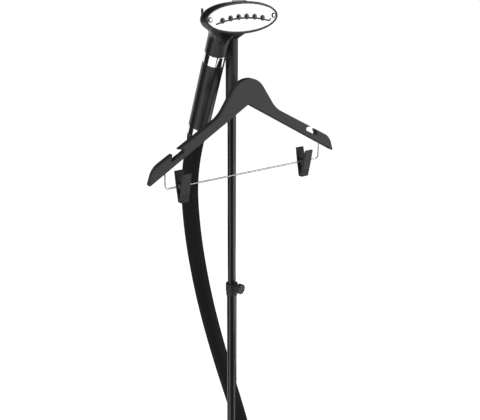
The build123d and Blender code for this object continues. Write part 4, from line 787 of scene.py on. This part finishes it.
def springLine(part):
    # legs leave the coil along its tangents; the coil winds about X from one leg's tangent to the other's
    reach = math.hypot(part["legEnd"], part["legRise"])
    tangent = math.atan2(part["legRise"], -part["legEnd"]) - math.acos(part["coil"] / reach)
    sweep = 2 * np.pi * part["turns"] - (np.pi - 2 * tangent)
    width = part["pitch"] * sweep / (2 * np.pi)
    angle = np.pi - tangent + np.linspace(0, sweep, part["coilSteps"])
    coil = np.stack([np.linspace(-width / 2, width / 2, part["coilSteps"]),
                     part["coil"] * np.cos(angle), part["coil"] * np.sin(angle)], -1)
    share = np.linspace(0, 1, part["legSteps"], endpoint=False)[:, None]
    lean = part["pitch"] / (2 * np.pi * part["coil"]) * math.sqrt(reach ** 2 - part["coil"] ** 2)
    firstTip = np.array([-width / 2 - lean, part["legEnd"], part["legRise"]])
    lastTip = np.array([width / 2 + lean, -part["legEnd"], part["legRise"]])
    firstLeg = firstTip + (coil[0] - firstTip) * share
    lastLeg = lastTip + (coil[-1] - lastTip) * share
    return np.concatenate([firstLeg, coil, lastLeg[::-1]]), width


def cappedTube(line, radius, around, across):
    # the tube's rings, with both ends drawn in to a point on the line
    rings = tubeAlong(line, radius, around, across)
    ends = [np.repeat(line[None, [end]], around, 1) for end in (0, -1)]
    return np.concatenate([ends[0], rings, ends[1]])


def addClipSprings(part):
    # one leg lies along the back jaw and the other along the front jaw, with the coil between them
    line, width = springLine(part)
    wire = part["wire"] * millimetre
    for word, side in part["places"].items():
        middle = np.array([side, part["front"], part["height"]])
        points = cappedTube((line + middle) * millimetre, wire, part["around"], (1.0, 0, 0))
        faces = gridFaces(len(points), part["around"], wrapColumns=True)
        piece = addPiece(f"clipCoil_{word}", points, faces, "black_paint")
        start = (middle - (width / 2, 0, 0)) * millimetre
        end = (middle + (width / 2, 0, 0)) * millimetre
        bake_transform(piece)
        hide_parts(f"clip_spring_{word}")


addClipSprings(clipSpring)

# valve spring: a coil with closed ends
valveSpring = {"middle": (-50.0, -75.0), "coil": 4.6, "wire": 0.5, "turns": 5, "closed": 0.13,
               "steps": 150, "around": 10, "lift": 0.003}


def addValveSpring(part):
    # the coil climbs evenly but for a closed share at each end
    lowest, highest = (np.array(corner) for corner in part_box("valve_spring"))
    share = np.linspace(0, 1, part["steps"])
    climb = np.clip((share - part["closed"]) / (1 - 2 * part["closed"]), 0, 1)
    angle = 2 * np.pi * part["turns"] * share
    wire = part["wire"] * millimetre
    height = highest[2] - lowest[2]
    line = np.stack([(part["middle"][0] + part["coil"] * np.cos(angle)) * millimetre,
                     (part["middle"][1] + part["coil"] * np.sin(angle)) * millimetre,
                     lowest[2] + wire + (height - 2 * wire) * climb], -1)
    points = cappedTube(line, wire, part["around"], (0, 0, 1.0))
    faces = gridFaces(len(points), part["around"], wrapColumns=True)
    piece = addPiece("valveCoil", points, faces, "plain_steel")
    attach(piece, "tank")
    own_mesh(piece)
    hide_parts("valve_spring")


addValveSpring(valveSpring)
print("springs: wound")

# studio: a pale floor that runs into a white backdrop, two soft lamps, and dark cards for the gloss
studio = {
    "floorSize": 120.0,
    "floorGlow": 0.8,
    "sky": 0.45,
    "cardSteps": 24,
    # upright cards: first and last bearing in degrees from the camera's side, left to right,
    # then the radius and the two heights
    "upright": [(-118, -66, 2.6, -0.2, 3.6), (-36, 38, 2.6, -0.2, 3.6), (120, 180, 2.6, -0.2, 3.6),
                (-180, -66, 2.6, 1.85, 3.6), (100, 180, 2.6, 1.85, 3.6),
                (-107, -66, 0.5, 0.25, 0.82), (-36, 38, 0.5, 0.25, 0.82)],
    # cards on the floor: first and last bearing, then the near and the far radius at each end
    "lying": [(12, 48, 0.25, 0.25, 1.2, 1.2), (18, 88, 1.2, 1.42, 1.5, 1.8),
              (85, 140, 0.25, 0.25, 1.35, 1.35), (140, 182, 0.25, 0.25, 2.3, 2.3),
              (-36, 38, 1.95, 1.95, 2.62, 2.62), (-118, -66, 1.7, 1.7, 2.62, 2.62),
              (-180, -133, 0.4, 0.4, 1.9, 1.9), (-180, -133, 2.3, 2.3, 3.2, 3.2)],
    "lyingHeight": 0.004,
    "roofHeight": 3.4,
    "roofSize": 6.6,
    "cardGlow": 0.015,
    "lamps": {
        "lampLeft": {"place": (-3.2, -1.6, 3.0), "aim": (0, 0, 1.1), "size": (1.6, 2.4), "power": 90},
        "lampRight": {"place": (2.6, -2.6, 3.2), "aim": (0, 0, 1.1), "size": (1.6, 2.4), "power": 70},
    },
}


def addWorld(part):
    # white to the eye and in mirrors, softer as a light
    world = bpy.data.worlds.new("studioWorld")
    scene.world = world
    world.use_nodes = True
    world.node_tree.nodes.clear()
    sky = Graph(world.node_tree)
    back = sky.node("Background", None, {
        "Color": sky.tint(sky.mirrorView(), grey(part["sky"]), grey(1.0)),
        "Strength": 1.0,
    })
    sky.node("OutputWorld", None, {"Surface": back})


def addStage(name, points, faces, finish):
    # a mesh that belongs to the studio and not to the part
    mesh = bpy.data.meshes.new(name)
    mesh.from_pydata(points.reshape(-1, 3).tolist(), [], [list(face) for face in faces])
    mesh.materials.append(finish.material)
    made = bpy.data.objects.new(name, mesh)
    scene.collection.objects.link(made)
    return made


def addFloor(part):
    # a large square whose glow shows to the eye and in mirrors, but adds no light to dull surfaces
    half = part["floorSize"] / 2
    corners = np.array([[-half, -half, 0], [half, -half, 0], [half, half, 0], [-half, half, 0]])
    paper = Finish("floorPaper")
    paper.set(base=grey(0.5), rough=0.9, spec=0.0, glowStrength=part["floorGlow"],
              glow=paper.tint(paper.mirrorView(), grey(0.0), grey(1.0)))
    addStage("studioFloor", corners, [[0, 1, 2, 3]], paper)


def addCards(part, look):
    # black cards that only reflections show: upright arcs, sectors on the floor and a roof
    black = Finish("cardBlack")
    black.set(base=grey(0.003), rough=1.0, spec=0.0, glow=grey(1.0), glowStrength=part["cardGlow"])
    steps = part["cardSteps"]
    cards = []

    def spokes(first, last):
        bearing = np.radians(180 + look["yaw"] - np.linspace(first, last, steps))
        return np.stack([np.sin(bearing), np.cos(bearing), np.zeros(steps)], -1)[:, None, :]

    for first, last, radius, low, high in part["upright"]:
        cards.append(spokes(first, last) * radius + np.array([[0, 0, low], [0, 0, high]]))
    for first, last, nearA, nearB, farA, farB in part["lying"]:
        reach = np.stack([np.linspace(nearA, nearB, steps), np.linspace(farA, farB, steps)], -1)
        cards.append(spokes(first, last) * reach[:, :, None] + (0, 0, part["lyingHeight"]))
    edge = np.linspace(-0.5, 0.5, steps) * part["roofSize"]
    across = np.array([-0.5, 0.5]) * part["roofSize"]
    cards.append(np.stack([*np.meshgrid(edge, across, indexing="ij"),
                           np.full((steps, 2), part["roofHeight"])], -1))
    for number, points in enumerate(cards):
        made = addStage(f"card{number}", points, gridFaces(steps, 2).tolist(), black)
        made.visible_camera = False
        made.visible_diffuse = False
        made.visible_shadow = False
        made.visible_transmission = False


def addLamp(name, part):
    # a lamp shines along its own -Z, so +Z points away from the aim
    data = bpy.data.lights.new(name, "AREA")
    data.shape = "RECTANGLE"
    data.size, data.size_y = part["size"]
    data.energy = part["power"]
    lamp = bpy.data.objects.new(name, data)
    scene.collection.objects.link(lamp)
    lamp.location = part["place"]
    away = np.array(part["place"]) - np.array(part["aim"])
    lamp.rotation_mode = "QUATERNION"
    lamp.rotation_quaternion = Vector(away.tolist()).to_track_quat("Z", "Y")


addWorld(studio)
addFloor(studio)
addCards(studio, shot)
for name, part in studio["lamps"].items():
    addLamp(name, part)
print("studio: lit")
